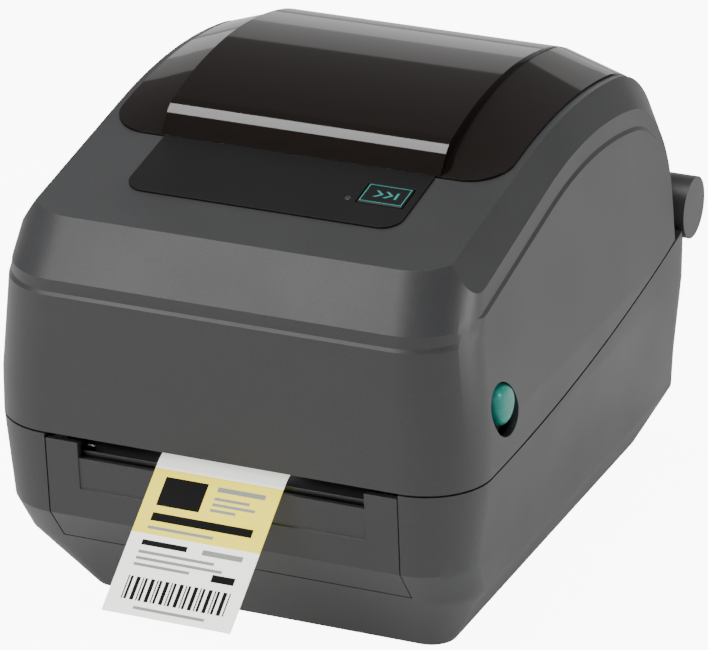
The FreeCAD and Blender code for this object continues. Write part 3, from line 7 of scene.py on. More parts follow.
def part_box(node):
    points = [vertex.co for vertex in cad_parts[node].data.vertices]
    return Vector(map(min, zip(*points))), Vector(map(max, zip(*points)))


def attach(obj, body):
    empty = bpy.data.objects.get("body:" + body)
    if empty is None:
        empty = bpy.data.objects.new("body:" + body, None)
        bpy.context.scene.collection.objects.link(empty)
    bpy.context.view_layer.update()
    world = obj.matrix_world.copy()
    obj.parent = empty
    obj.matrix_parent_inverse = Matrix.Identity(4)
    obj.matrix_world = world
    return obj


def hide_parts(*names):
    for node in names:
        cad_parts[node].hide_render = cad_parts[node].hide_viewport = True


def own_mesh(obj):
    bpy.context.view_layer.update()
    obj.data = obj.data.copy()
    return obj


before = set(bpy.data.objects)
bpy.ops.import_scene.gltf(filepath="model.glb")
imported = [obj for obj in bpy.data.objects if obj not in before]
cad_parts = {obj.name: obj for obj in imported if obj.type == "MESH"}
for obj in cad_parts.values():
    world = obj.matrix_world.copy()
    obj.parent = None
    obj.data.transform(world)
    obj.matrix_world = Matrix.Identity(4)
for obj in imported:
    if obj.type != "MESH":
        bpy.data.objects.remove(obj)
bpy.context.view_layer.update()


# Lower case: the tub that carries everything else, with its screw posts and hinge ears. It is one
# moulding in dark grey ABS, with a fine spark texture.
SURFACE_INPUTS = (("Colour", "NodeSocketColor"), ("Roughness", "NodeSocketFloat"))
SURFACE_RESULTS = (*SURFACE_INPUTS, ("Height", "NodeSocketFloat"))


def surface_group(name, *extra_inputs):
    """An empty shader node group for a surface, and its input and output nodes."""
    tree = bpy.data.node_groups.new(name, "ShaderNodeTree")
    for label, kind in (*SURFACE_INPUTS, *extra_inputs):
        tree.interface.new_socket(label, in_out="INPUT", socket_type=kind)
    for label, kind in SURFACE_RESULTS:
        tree.interface.new_socket(label, in_out="OUTPUT", socket_type=kind)
    return tree, tree.nodes.new("NodeGroupInput"), tree.nodes.new("NodeGroupOutput")


def spread(tree, value, given_range, wanted_range):
    """A value taken from one range to another."""
    stretch = tree.nodes.new("ShaderNodeMapRange")
    limits = zip(("From Min", "From Max", "To Min", "To Max"), (*given_range, *wanted_range))
    for socket, number in limits:
        stretch.inputs[socket].default_value = number
    tree.links.new(value, stretch.inputs["Value"])
    return stretch.outputs["Result"]


def shade_surface(tree, given, result, tint_by, gloss_by):
    """The group's colour and roughness, each scaled by a value that varies over the surface."""
    nodes, links = tree.nodes, tree.links
    tint = nodes.new("ShaderNodeVectorMath")
    tint.operation = "SCALE"
    links.new(given.outputs["Colour"], tint.inputs["Vector"])
    links.new(tint_by, tint.inputs["Scale"])
    links.new(tint.outputs["Vector"], result.inputs["Colour"])
    gloss = nodes.new("ShaderNodeMath")
    gloss.operation = "MULTIPLY"
    links.new(given.outputs["Roughness"], gloss.inputs[0])
    links.new(gloss_by, gloss.inputs[1])
    links.new(gloss.outputs["Value"], result.inputs["Roughness"])


def moulded_skin_group():
    """Spark-eroded mould texture: fine grain, soft cloudy tint and uneven gloss."""
    tree, given, result = surface_group("moulded_skin", ("Grain", "NodeSocketFloat"))
    nodes, links = tree.nodes, tree.links
    where = nodes.new("ShaderNodeTexCoord")
    grain = nodes.new("ShaderNodeTexNoise")
    grain.inputs["Detail"].default_value = 3.0
    grain.inputs["Roughness"].default_value = 0.65
    links.new(where.outputs["Object"], grain.inputs["Vector"])
    links.new(given.outputs["Grain"], grain.inputs["Scale"])
    cloud = nodes.new("ShaderNodeTexNoise")
    cloud.inputs["Scale"].default_value = 22.0
    cloud.inputs["Detail"].default_value = 4.0
    links.new(where.outputs["Object"], cloud.inputs["Vector"])
    shade = spread(tree, cloud.outputs["Fac"], (0.3, 0.7), (0.93, 1.07))
    both = nodes.new("ShaderNodeMath")
    both.operation = "MULTIPLY"
    links.new(shade, both.inputs[0])
    links.new(spread(tree, grain.outputs["Fac"], (0.35, 0.65), (0.88, 1.12)), both.inputs[1])
    shade_surface(tree, given, result, both.outputs["Value"], shade)
    links.new(grain.outputs["Fac"], result.inputs["Height"])
    return tree


moulded_skin = moulded_skin_group()


def dressed_material(name, group, values, depth):
    """A material whose colour, gloss and relief come from one of the surface groups."""
    finish = bpy.data.materials.new(name)
    finish.use_nodes = True
    nodes, links = finish.node_tree.nodes, finish.node_tree.links
    shader = nodes["Principled BSDF"]
    surface = nodes.new("ShaderNodeGroup")
    surface.node_tree = group
    for socket, value in values.items():
        surface.inputs[socket].default_value = value
    relief = nodes.new("ShaderNodeBump")
    relief.inputs["Strength"].default_value = 0.6
    relief.inputs["Distance"].default_value = depth
    links.new(surface.outputs["Colour"], shader.inputs["Base Color"])
    links.new(surface.outputs["Roughness"], shader.inputs["Roughness"])
    links.new(surface.outputs["Height"], relief.inputs["Height"])
    links.new(relief.outputs["Normal"], shader.inputs["Normal"])
    return finish


def plastic(name, colour, roughness, grain=1500.0, depth=0.00006):
    """Moulded plastic, rubber, lacquer, paper or ink, with a grain of the given scale and depth."""
    values = {"Colour": (*colour, 1.0), "Roughness": roughness, "Grain": grain}
    return dressed_material(name, moulded_skin, values, depth)


def softened(node, body, finish, width, segments=3, crease=26.0):
    """The CAD piece with its edges rounded, as a moulding or a pressing leaves its tool."""
    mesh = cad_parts[node].data.copy()
    mesh.name = node + "_form"
    shape = bmesh.new()
    shape.from_mesh(mesh)
    bmesh.ops.remove_doubles(shape, verts=shape.verts, dist=0.000002)
    bmesh.ops.dissolve_limit(
        shape, angle_limit=math.radians(0.4), verts=shape.verts, edges=shape.edges)
    shape.to_mesh(mesh)
    shape.free()
    if "custom_normal" in mesh.attributes:
        mesh.attributes.remove(mesh.attributes["custom_normal"])
    mesh.materials.clear()
    mesh.materials.append(finish)
    mesh.shade_smooth()
    piece = bpy.data.objects.new(node + "_form", mesh)
    bpy.context.collection.objects.link(piece)
    edge = piece.modifiers.new("edge_radius", "BEVEL")
    edge.width = width
    edge.segments = segments
    edge.limit_method = "ANGLE"
    edge.angle_limit = math.radians(crease)
    edge.use_clamp_overlap = True
    edge.harden_normals = True
    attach(piece, body)
    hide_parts(node)
    return piece


case_grey = plastic("case_grey", (0.034, 0.0345, 0.036), roughness=0.44)
softened("base_case", "base", case_grey, width=0.0011)


# Rubber feet: four discs that keep the printer from sliding. They are black rubber, pressed into
# wells in the underside.
foot_rubber = plastic(
    "foot_rubber", (0.018, 0.018, 0.018), roughness=0.85, grain=900.0, depth=0.0001)
softened("rubber_feet", "base", foot_rubber, width=0.0006)


# Front panel: a separate grey moulding in the front of the case, with the label slot cut in its
# top edge and a sunk field below it.
panel_grey = plastic("panel_grey", (0.032, 0.0325, 0.034), roughness=0.44)
softened("front_bezel", "base", panel_grey, width=0.0006)


# Inner frame: the moulded deck with the label bay, screwed to the posts of the case, and its
# zinc plated screws.
def turned_metal_group():
    """Machined or drawn metal: fine streaks along one axis, with patches of differing gloss."""
    tree, given, result = surface_group("turned_metal", ("Stretch", "NodeSocketVector"))
    nodes, links = tree.nodes, tree.links
    where = nodes.new("ShaderNodeTexCoord")
    along = nodes.new("ShaderNodeVectorMath")
    along.operation = "MULTIPLY"
    links.new(where.outputs["Object"], along.inputs[0])
    links.new(given.outputs["Stretch"], along.inputs[1])
    streak = nodes.new("ShaderNodeTexNoise")
    streak.inputs["Scale"].default_value = 1.0
    streak.inputs["Detail"].default_value = 4.0
    links.new(along.outputs["Vector"], streak.inputs["Vector"])
    shade = spread(tree, streak.outputs["Fac"], (0.3, 0.7), (0.82, 1.12))
    shade_surface(tree, given, result, shade, shade)
    links.new(streak.outputs["Fac"], result.inputs["Height"])
    return tree


turned_metal = turned_metal_group()


def shader_of(finish):
    """The surface shader of a material, for what its group doesn't set."""
    return finish.node_tree.nodes["Principled BSDF"]


def metal(name, colour, roughness, stretch):
    """Bare or plated metal, streaked along the axis that is stretched least."""
    values = {"Colour": (*colour, 1.0), "Roughness": roughness, "Stretch": stretch}
    finish = dressed_material(name, turned_metal, values, depth=0.00002)
    shader_of(finish).inputs["Metallic"].default_value = 1.0
    return finish


frame_grey = plastic("frame_grey", (0.03, 0.031, 0.033), roughness=0.55)
softened("media_deck", "base", frame_grey, width=0.0006)
zinc = metal("zinc_plate", (0.62, 0.61, 0.58), roughness=0.34, stretch=(900.0, 900.0, 900.0))
softened("case_screws", "base", zinc, width=0.0005)
softened("deck_screws", "base", zinc, width=0.0005)


# Platen drive: a ground rubber roller on a steel shaft in bronze bushings, turned through an
# idler by the motor's pinion. The gears are off-white acetal, the motor is lacquered black.
platen_rubber = plastic(
    "platen_rubber", (0.022, 0.022, 0.024), roughness=0.7, grain=2200.0, depth=0.00003)
softened("platen_roller", "platen", platen_rubber, width=0.0006)
steel_x = metal("steel_rod", (0.58, 0.58, 0.59), roughness=0.26, stretch=(40.0, 1600.0, 1600.0))
softened("platen_shaft", "platen", steel_x, width=0.0004)
softened("motor_shaft", "pinion", steel_x, width=0.0003)
softened("idler_stud", "base", steel_x, width=0.0003)
bronze = metal(
    "sintered_bronze", (0.16, 0.105, 0.055), roughness=0.55, stretch=(700.0, 700.0, 700.0))
softened("platen_bushings", "base", bronze, width=0.0003)
acetal = plastic("gear_acetal", (0.78, 0.77, 0.72), roughness=0.42, grain=700.0, depth=0.00002)
for gear, body in (("platen_gear", "platen"), ("idler_gear", "idler"), ("motor_pinion", "pinion")):
    softened(gear, body, acetal, width=0.00012, segments=2)
motor_black = plastic(
    "motor_lacquer", (0.03, 0.03, 0.032), roughness=0.36, grain=500.0, depth=0.00002)
softened("stepper_motor", "base", motor_black, width=0.0015)


# Tear bar and label sensor: a dark steel edge fixed behind the slot, and a small sensor in black
# plastic under the label's path.
tear_steel = metal("tear_steel", (0.1, 0.1, 0.105), roughness=0.42, stretch=(30.0, 1500.0, 1500.0))
softened("tear_bar", "base", tear_steel, width=0.0002)
black_plastic = plastic("socket_black", (0.014, 0.014, 0.015), roughness=0.45)
softened("media_sensor", "base", black_plastic, width=0.0004)


# Roll guides: two grey moulded plates with hubs that hold the roll by its core. They slide on
# steel rails fixed in the label bay.
softened("guide_rails", "base", steel_x, width=0.0004)
guide_grey = plastic("guide_grey", (0.11, 0.112, 0.118), roughness=0.5)
softened("roll_guide_left", "guide_left", guide_grey, width=0.0007)
softened("roll_guide_right", "guide_right", guide_grey, width=0.0007)


# Label roll: paper labels wound on a card core, which turns on the hubs of the guides. Its ends
# show the edges of the turns.
def wound_edge_group():
    """Edges of a winding: fine rings round the roll's axis, which lies along X."""
    tree, given, result = surface_group(
        "wound_edge", ("Axis", "NodeSocketVector"), ("Turns", "NodeSocketFloat"))
    nodes, links = tree.nodes, tree.links
    where = nodes.new("ShaderNodeTexCoord")
    offset = nodes.new("ShaderNodeVectorMath")
    offset.operation = "SUBTRACT"
    links.new(where.outputs["Object"], offset.inputs[0])
    links.new(given.outputs["Axis"], offset.inputs[1])
    flat = nodes.new("ShaderNodeVectorMath")
    flat.operation = "MULTIPLY"
    flat.inputs[1].default_value = (0.0, 1.0, 1.0)
    links.new(offset.outputs["Vector"], flat.inputs[0])
    radius = nodes.new("ShaderNodeVectorMath")
    radius.operation = "LENGTH"
    links.new(flat.outputs["Vector"], radius.inputs[0])
    turn = nodes.new("ShaderNodeMath")
    turn.operation = "MULTIPLY"
    links.new(radius.outputs["Value"], turn.inputs[0])
    links.new(given.outputs["Turns"], turn.inputs[1])
    ring = nodes.new("ShaderNodeTexNoise")
    ring.noise_dimensions = "1D"
    ring.inputs["Scale"].default_value = 1.0
    ring.inputs["Detail"].default_value = 2.0
    links.new(turn.outputs["Value"], ring.inputs["W"])
    fibre = nodes.new("ShaderNodeTexNoise")
    fibre.inputs["Scale"].default_value = 900.0
    links.new(where.outputs["Object"], fibre.inputs["Vector"])
    mixed = nodes.new("ShaderNodeMath")
    mixed.operation = "MULTIPLY_ADD"
    mixed.inputs[1].default_value = 0.35
    links.new(fibre.outputs["Fac"], mixed.inputs[0])
    links.new(ring.outputs["Fac"], mixed.inputs[2])
    shade = spread(tree, mixed.outputs["Value"], (0.4, 0.95), (0.82, 1.04))
    shade_surface(tree, given, result, shade, shade)
    links.new(mixed.outputs["Value"], result.inputs["Height"])
    return tree


wound_edge = wound_edge_group()


def middle_of(node):
    """Middle of a CAD piece's box."""
    low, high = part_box(node)
    return tuple((a + b) / 2 for a, b in zip(low, high))


def winding(name, node, colour, roughness, turns):
    """Sheet or film wound about the middle of a CAD piece."""
    values = {
        "Colour": (*colour, 1.0), "Roughness": roughness, "Axis": middle_of(node), "Turns": turns}
    return dressed_material(name, wound_edge, values, depth=0.00003)


roll_paper = winding("roll_paper", "label_roll", (0.86, 0.85, 0.8), roughness=0.62, turns=3000.0)
softened("label_roll", "label_supply", roll_paper, width=0.0002)
core_card = winding("core_card", "label_roll", (0.4, 0.28, 0.16), roughness=0.8, turns=2600.0)
softened("roll_core", "label_supply", core_card, width=0.0002)


# Label web: one strip of whitened paper from the roll over the platen and out of the slot, where
# it bends over the tear bar and hangs. The print is plain blocks, rules and bars. The white and
# yellow paper carry a painted glow, an emission that makes them brighter than the light on them.
def finished(shape, name, *finishes, smooth=False):
    """A modelled shape as an object of the scene, with its materials."""
    mesh = bpy.data.meshes.new(name)
    shape.to_mesh(mesh)
    shape.free()
    for finish in finishes:
        mesh.materials.append(finish)
    if smooth:
        mesh.shade_smooth()
    made = bpy.data.objects.new(name, mesh)
    bpy.context.collection.objects.link(made)
    return made


def coated(name, colour, roughness):
    """Smooth coated paper, or the ink on it."""
    return plastic(name, colour, roughness, grain=2600.0, depth=0.00001)


paper_white = coated("label_white", (0.87, 0.87, 0.84), roughness=0.5)
paper_yellow = coated("label_yellow", (0.93, 0.78, 0.01), roughness=0.5)
ink_black = coated("label_ink", (0.003, 0.003, 0.003), roughness=0.7)
shader_of(ink_black).inputs["Specular IOR Level"].default_value = 0.15
ink_grey = coated("label_grey", (0.28, 0.28, 0.27), roughness=0.45)
# Painted glow: the white and yellow paper emit light of their own colour, so they look brighter.
for glowing_paper, glow, strength in (
        (paper_white, (0.87, 0.87, 0.84, 1.0), 1.2), (paper_yellow, (1.0, 0.85, 0.01, 1.0), 0.7)):
    shader_of(glowing_paper).inputs["Emission Color"].default_value = glow
    shader_of(glowing_paper).inputs["Emission Strength"].default_value = strength
# Slots of the inks on the strip. Its first slot, 0, is the bare paper.
PRINTS = {"yellow": 1, "black": 2, "grey": 3}
# Course of the strip from the label's tip: it hangs straight, bends over the tear bar, lies flat
# over the roller and climbs to the roll.
hang, flat_run = 0.062, 0.035
droop, droop_radius, bend_steps = math.radians(37.0), 0.014, 10
thickness, roller_play, roll_play = 0.0003, 0.0003, 0.0006
strip_low, strip_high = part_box("label_strip")
half = strip_high[0]
tip_y = strip_low[1] + thickness * math.sin(droop)
over_y = tip_y + hang * math.cos(droop)
brink_y = over_y + droop_radius * math.sin(droop)
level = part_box("platen_roller")[1][2] + roller_play
over_z = level - droop_radius * (1 - math.cos(droop))
bend_y = brink_y + flat_run
rear = Vector((0, strip_high[1], strip_high[2])) - Vector((0, bend_y, level))
climb = math.atan2(rear.z, rear.y)
bend_run = droop_radius * droop
web_length = hang + bend_run + flat_run + rear.length - roll_play
# Artwork on the hanging label: left, right, start and end in mm, measured from the middle
# and from the label's tip.
artwork = [
    (-25.4, 25.4, 33.0, 60.0, "yellow"),
    (-20.0, -3.0, 45.0, 57.0, "black"),
    (1.0, 20.0, 54.5, 56.5, "grey"), (1.0, 15.0, 51.0, 52.2, "grey"),
    (1.0, 18.0, 48.6, 49.8, "grey"), (1.0, 11.0, 46.2, 47.4, "grey"),
    (-20.0, 20.0, 38.6, 42.0, "black"), (-20.0, 6.0, 35.2, 36.4, "grey"),
    (-20.0, -2.0, 28.4, 30.6, "black"), (4.0, 20.0, 28.4, 30.6, "grey"),
    (-20.0, 10.0, 25.0, 26.2, "grey"), (-20.0, 14.0, 22.4, 23.6, "grey"),
    (-20.0, 2.0, 19.8, 21.0, "grey"), (11.0, 20.0, 18.6, 21.6, "black"),
    (-14.0, 14.0, 2.6, 3.8, "grey"),
]
# Bars of three widths and three gaps, in a fixed order.
bar_left, bar_count = -20.0, 22
for index in range(bar_count):
    bar_width = 0.5 + 0.5 * ((index * 7) % 3)
    artwork.append((bar_left, bar_left + bar_width, 6.0, 15.5, "black"))
    bar_left += bar_width + 0.5 + 0.4 * ((index * 5) % 3)
web = bmesh.new()
corners = ((-half, 0, 0), (half, 0, 0), (half, web_length, 0), (-half, web_length, 0))
web.faces.new([web.verts.new(corner) for corner in corners])
inside = half - thickness
cuts_x = {round(v / 1000, 6) for block in artwork for v in block[:2] if abs(v) / 1000 < inside}
cuts_y = {round(v / 1000, 6) for block in artwork for v in block[2:4]}
cuts_y |= {hang + bend_run * step / bend_steps for step in range(bend_steps + 1)}
cuts_y.add(hang + bend_run + flat_run)
cuts = [((x, 0, 0), (1, 0, 0)) for x in sorted(cuts_x)]
cuts += [((0, y, 0), (0, 1, 0)) for y in sorted(cuts_y)]
for place, normal in cuts:
    geometry = web.verts[:] + web.edges[:] + web.faces[:]
    bmesh.ops.bisect_plane(web, geom=geometry, dist=0.0000005, plane_co=place, plane_no=normal)
for face in web.faces:
    x, y = face.calc_center_median()[:2]
    for left, right, start, end, ink in artwork:
        if left / 1000 < x < right / 1000 and start / 1000 < y < end / 1000:
            face.material_index = PRINTS[ink]


def along_web(run):
    """A point of the strip's lower side, that far from the label's tip."""
    if run <= hang:
        return tip_y + run * math.cos(droop), over_z - (hang - run) * math.sin(droop)
    run -= hang
    if run <= bend_run:
        turn = droop - run / droop_radius
        return brink_y - droop_radius * math.sin(turn), level - droop_radius * (1 - math.cos(turn))
    run -= bend_run
    if run <= flat_run:
        return brink_y + run, level
    run -= flat_run
    return bend_y + run * math.cos(climb), level + run * math.sin(climb)


for vert in web.verts:
    vert.co.y, vert.co.z = along_web(vert.co.y)
bmesh.ops.recalc_face_normals(web, faces=web.faces)
if sum(face.normal.z for face in web.faces) > 0:
    bmesh.ops.reverse_faces(web, faces=web.faces)
bmesh.ops.solidify(web, geom=web.faces[:], thickness=thickness)
label_web = finished(web, "label_web", paper_white, paper_yellow, ink_black, ink_grey)
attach(label_web, "base")
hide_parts("label_strip")


# Main board: a green circuit board on standoffs, with its chips, and the sockets on its rear
# edge. The switch is held in the rear wall, and its rocker turns in it.
def round_edges(shape, edges, radius, segments):
    """Round some edges of a modelled shape."""
    bmesh.ops.bevel(shape, geom=edges, offset=radius, offset_type="OFFSET", affect="EDGES",
                    segments=segments, profile=0.5, material=-1)


board_green = plastic(
    "board_green", (0.016, 0.13, 0.055), roughness=0.35, grain=600.0, depth=0.00003)
softened("main_board", "base", board_green, width=0.0003)
chip_black = plastic("chip_black", (0.02, 0.02, 0.02), roughness=0.5)
board_low, board_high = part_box("main_board")
chips = bmesh.new()
for across, deep, wide, long, tall in (
        (-0.02, 0.03, 0.02, 0.02, 0.0016), (0.012, 0.03, 0.014, 0.01, 0.0014),
        (0.012, 0.05, 0.014, 0.01, 0.0014), (-0.02, 0.075, 0.012, 0.018, 0.0016),
        (0.028, 0.09, 0.01, 0.01, 0.006), (-0.03, 0.11, 0.01, 0.01, 0.006)):
    made = bmesh.ops.create_cube(chips, size=1.0)["verts"]
    bmesh.ops.scale(chips, vec=(wide, long, tall), verts=made)
    place = (across, board_low[1] + deep, board_high[2] + tall / 2)
    bmesh.ops.translate(chips, vec=place, verts=made)
round_edges(chips, chips.edges[:], radius=0.0003, segments=2)
board_chips = finished(chips, "board_chips", chip_black)
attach(board_chips, "base")
tinned = metal("tinned_steel", (0.66, 0.66, 0.65), roughness=0.3, stretch=(700.0, 700.0, 700.0))
softened("power_inlet", "base", black_plastic, width=0.0004)
softened("usb_port", "base", tinned, width=0.0003)
softened("ethernet_port", "base", tinned, width=0.0003)
softened("power_switch", "base", black_plastic, width=0.0004)
softened("power_rocker", "rocker", black_plastic, width=0.0008)


# Hinge pins and strikes: steel pins fixed in the ears of the case, on which the cover swings, and
# the steel blocks behind the latch hooks.
softened("hinge_pins", "base", steel_x, width=0.0004)
softened("latch_strikes", "base", steel_x, width=0.0004)


# Cover: the deep lid that swings up on the hinge pins. It is moulded in the same grey as the case,
# with soft edges along the facet and shoulders.
cover_grey = plastic("cover_grey", (0.034, 0.0345, 0.036), roughness=0.42)
softened("top_cover", "cover", cover_grey, width=0.0016, segments=4, crease=18.0)


# Window: a polished cap of smoked clear plastic, seated on the cover all round. The front edge of
# its crowned middle is rounded over.
def blend(tree, factor, first, second):
    """A colour between two, by a factor."""
    mix = tree.nodes.new("ShaderNodeMix")
    mix.data_type = "RGBA"
    by, one, other = (mix.inputs[index] for index in (0, 6, 7))
    one.default_value = (*first, 1.0)
    other.default_value = (*second, 1.0)
    tree.links.new(factor, by)
    return mix.outputs[2]


smoke = bpy.data.materials.new("smoked_clear")
smoke.use_nodes = True
smoke_tree, smoke_shader = smoke.node_tree, shader_of(smoke)
smoke_shader.inputs["Transmission Weight"].default_value = 0.6
smoke_shader.inputs["IOR"].default_value = 1.49
smoke_where = smoke_tree.nodes.new("ShaderNodeTexCoord")
smoke_cloud = smoke_tree.nodes.new("ShaderNodeTexNoise")
smoke_cloud.inputs["Scale"].default_value = 14.0
smoke_tree.links.new(smoke_where.outputs["Object"], smoke_cloud.inputs["Vector"])
cloudy = smoke_cloud.outputs["Fac"]
smoke_tint = blend(smoke_tree, cloudy, (0.011, 0.0058, 0.004), (0.016, 0.0084, 0.0058))
smoke_tree.links.new(smoke_tint, smoke_shader.inputs["Base Color"])
smoke_gloss = spread(smoke_tree, cloudy, (0.0, 1.0), (0.04, 0.08))
smoke_tree.links.new(smoke_gloss, smoke_shader.inputs["Roughness"])
window = softened(
    "cover_window", "cover", smoke, width=0.0012, segments=4, crease=20.0)
window_low, window_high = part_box("cover_window")
crown_radius, crown_run = 0.19, 0.0655
lip_run, nose_run, nose_round = 0.0155, 0.008, 0.005
near = 0.00005


def on_crown(run):
    """Height of the crown's arc, that far behind the window's front edge."""
    return window_high[2] - crown_radius + math.sqrt(crown_radius ** 2 - (crown_run - run) ** 2)


nose = bmesh.new()
nose.from_mesh(window.data)
moved = [vert for vert in nose.verts if abs(vert.co.y - window_low[1] - lip_run) < near
         and abs(vert.co.z - on_crown(lip_run)) < near]
for vert in moved:
    vert.co.y, vert.co.z = window_low[1] + nose_run, on_crown(nose_run)
brow = [edge for edge in nose.edges if all(vert in moved for vert in edge.verts)]
round_edges(nose, brow, radius=nose_round, segments=12)
bmesh.ops.recalc_face_normals(nose, faces=nose.faces)
nose.to_mesh(window.data)
nose.free()
window.data.shade_smooth()


# Control panel: a thin satin black plate on the sloping top, with the feed button, its teal
# outline and two chevrons with a bar, the unlit status lamp and their board under the wall.
panel_black = plastic(
    "panel_black", (0.005, 0.0046, 0.0047), roughness=0.42, grain=1800.0, depth=0.00002)
shader_of(panel_black).inputs["Specular IOR Level"].default_value = 0.3
softened("control_overlay", "cover", panel_black, width=0.0003)
softened("feed_button", "feed", panel_black, width=0.0006)
lamp_lens = plastic("lamp_lens", (0.03, 0.032, 0.03), roughness=0.25, grain=400.0, depth=0.00001)
softened("status_led", "cover", lamp_lens, width=0.0003)
softened("button_board", "cover", board_green, width=0.0002)
teal_print = plastic("teal_print", (0.03, 0.27, 0.24), roughness=0.4, grain=1800.0, depth=0.00001)
rise_per_depth = 0.1853
slope = math.atan(rise_per_depth)
ink_thickness, ink_lift = 0.00004, 0.00002
button_middle = Vector(middle_of("feed_button"))
outward = Vector((0, -math.sin(slope), math.cos(slope)))
button_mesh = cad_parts["feed_button"].data
top_offset = max((Vector(vert.co) - button_middle).dot(outward) for vert in button_mesh.vertices)
marks = bmesh.new()


def flat_ring(wide, deep, line):
    """A rectangular outline of ink, drawn flat about the origin."""
    signs = ((-1, -1), (1, -1), (1, 1), (-1, 1))
    outer = [marks.verts.new((x * wide / 2, y * deep / 2, 0)) for x, y in signs]
    inner = [marks.verts.new((x * (wide / 2 - line), y * (deep / 2 - line), 0)) for x, y in signs]
    for index in range(4):
        after = (index + 1) % 4
        marks.faces.new((outer[index], outer[after], inner[after], inner[index]))


flat_ring(wide=0.0166, deep=0.0116, line=0.0004)
for corners in (
        ((-0.0044, -0.0022), (-0.0032, -0.0022), (-0.0008, 0), (-0.002, 0)),
        ((-0.002, 0), (-0.0008, 0), (-0.0032, 0.0022), (-0.0044, 0.0022)),
        ((-0.0006, -0.0022), (0.0006, -0.0022), (0.003, 0), (0.0018, 0)),
        ((0.0018, 0), (0.003, 0), (0.0006, 0.0022), (-0.0006, 0.0022)),
        ((0.0038, -0.0022), (0.0048, -0.0022), (0.0048, 0.0022), (0.0038, 0.0022))):
    marks.faces.new([marks.verts.new((x, y, 0)) for x, y in corners])
bmesh.ops.remove_doubles(marks, verts=marks.verts, dist=0.000002)
marks.normal_update()
bmesh.ops.solidify(marks, geom=marks.faces[:], thickness=-ink_thickness)
bmesh.ops.recalc_face_normals(marks, faces=marks.faces)
on_button = Matrix.Translation(button_middle + outward * (top_offset + ink_lift))
bmesh.ops.transform(marks, matrix=on_button @ Matrix.Rotation(slope, 4, "X"), verts=marks.verts)
button_mark = finished(marks, "button_mark", teal_print)
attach(button_mark, "feed")


# Ribbon carriage: a moulded frame that holds the ribbon and the print head. It is screwed under
# the cover and has a steel guide bar.
softened("carriage_frame", "cover", frame_grey, width=0.0006)
softened("ribbon_guide_bar", "cover", steel_x, width=0.0003)
softened("cover_screws", "cover", zinc, width=0.0005)


# Ribbon: glossy black film that runs below the print head, wound on two grey moulded spindles that
# turn in the carriage.
spindle_grey = plastic("spindle_grey", (0.26, 0.27, 0.28), roughness=0.5)
softened("ribbon_supply_spindle", "ribbon_supply", spindle_grey, width=0.0005)
softened("ribbon_takeup_spindle", "ribbon_takeup", spindle_grey, width=0.0005)
film_tint = (0.016, 0.015, 0.016)
supply_film = winding("supply_film", "ribbon_supply_roll", film_tint, roughness=0.24, turns=5000.0)
softened("ribbon_supply_roll", "ribbon_supply", supply_film, width=0.0002)
takeup_film = winding("takeup_film", "ribbon_takeup_roll", film_tint, roughness=0.24, turns=5000.0)
softened("ribbon_takeup_roll", "ribbon_takeup", takeup_film, width=0.0002)
film_black = plastic(
    "ribbon_film_black", (0.012, 0.012, 0.013), roughness=0.18, grain=200.0, depth=0.00001)
softened("ribbon_film", "cover", film_black, width=0.00004)


# Print head: a glazed ceramic board on an aluminium heat sink, held by a steel bracket that
# pivots in the carriage and is pressed down by two coil springs.
ceramic = plastic("head_ceramic", (0.7, 0.69, 0.64), roughness=0.22, grain=900.0, depth=0.00001)
softened("print_head", "head", ceramic, width=0.0004)
extruded = metal(
    "extruded_aluminium", (0.6, 0.61, 0.62), roughness=0.36, stretch=(30.0, 900.0, 900.0))
softened("heat_sink", "head", extruded, width=0.0005)
pressed = metal("pressed_steel", (0.5, 0.5, 0.5), roughness=0.36, stretch=(60.0, 700.0, 700.0))
softened("head_bracket", "head", pressed, width=0.0004)
spring_low, spring_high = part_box("head_springs")
spring_radius = 0.004
wire = 0.0005
coil_radius = spring_radius - wire
turns, turn_steps, wire_sides = 5, 24, 8
spring_y = (spring_low[1] + spring_high[1]) / 2
rise = spring_high[2] - spring_low[2] - 2 * wire
coils = bmesh.new()
for side in (spring_low[0] + spring_radius, spring_high[0] - spring_radius):
    ring = bmesh.ops.create_circle(coils, cap_ends=True, segments=wire_sides, radius=wire)["verts"]
    bmesh.ops.rotate(coils, cent=(0, 0, 0), matrix=Matrix.Rotation(math.pi / 2, 3, "X"), verts=ring)
    bmesh.ops.translate(coils, vec=(side + coil_radius, spring_y, spring_low[2] + wire), verts=ring)
    wire_face = [face for face in coils.faces if all(vert in ring for vert in face.verts)]
    steps = turns * turn_steps
    bmesh.ops.spin(coils, geom=wire_face, cent=(side, spring_y, 0), axis=(0, 0, 1), steps=steps,
                   dvec=(0, 0, rise / steps), angle=2 * math.pi * turns, use_merge=False)
bmesh.ops.recalc_face_normals(coils, faces=coils.faces)
spring_wire = metal("spring_wire", (0.5, 0.5, 0.52), roughness=0.3, stretch=(500.0, 500.0, 500.0))
spring_coils = finished(coils, "spring_coils", spring_wire, smooth=True)
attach(spring_coils, "cover")
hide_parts("head_springs")
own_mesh(spring_coils)


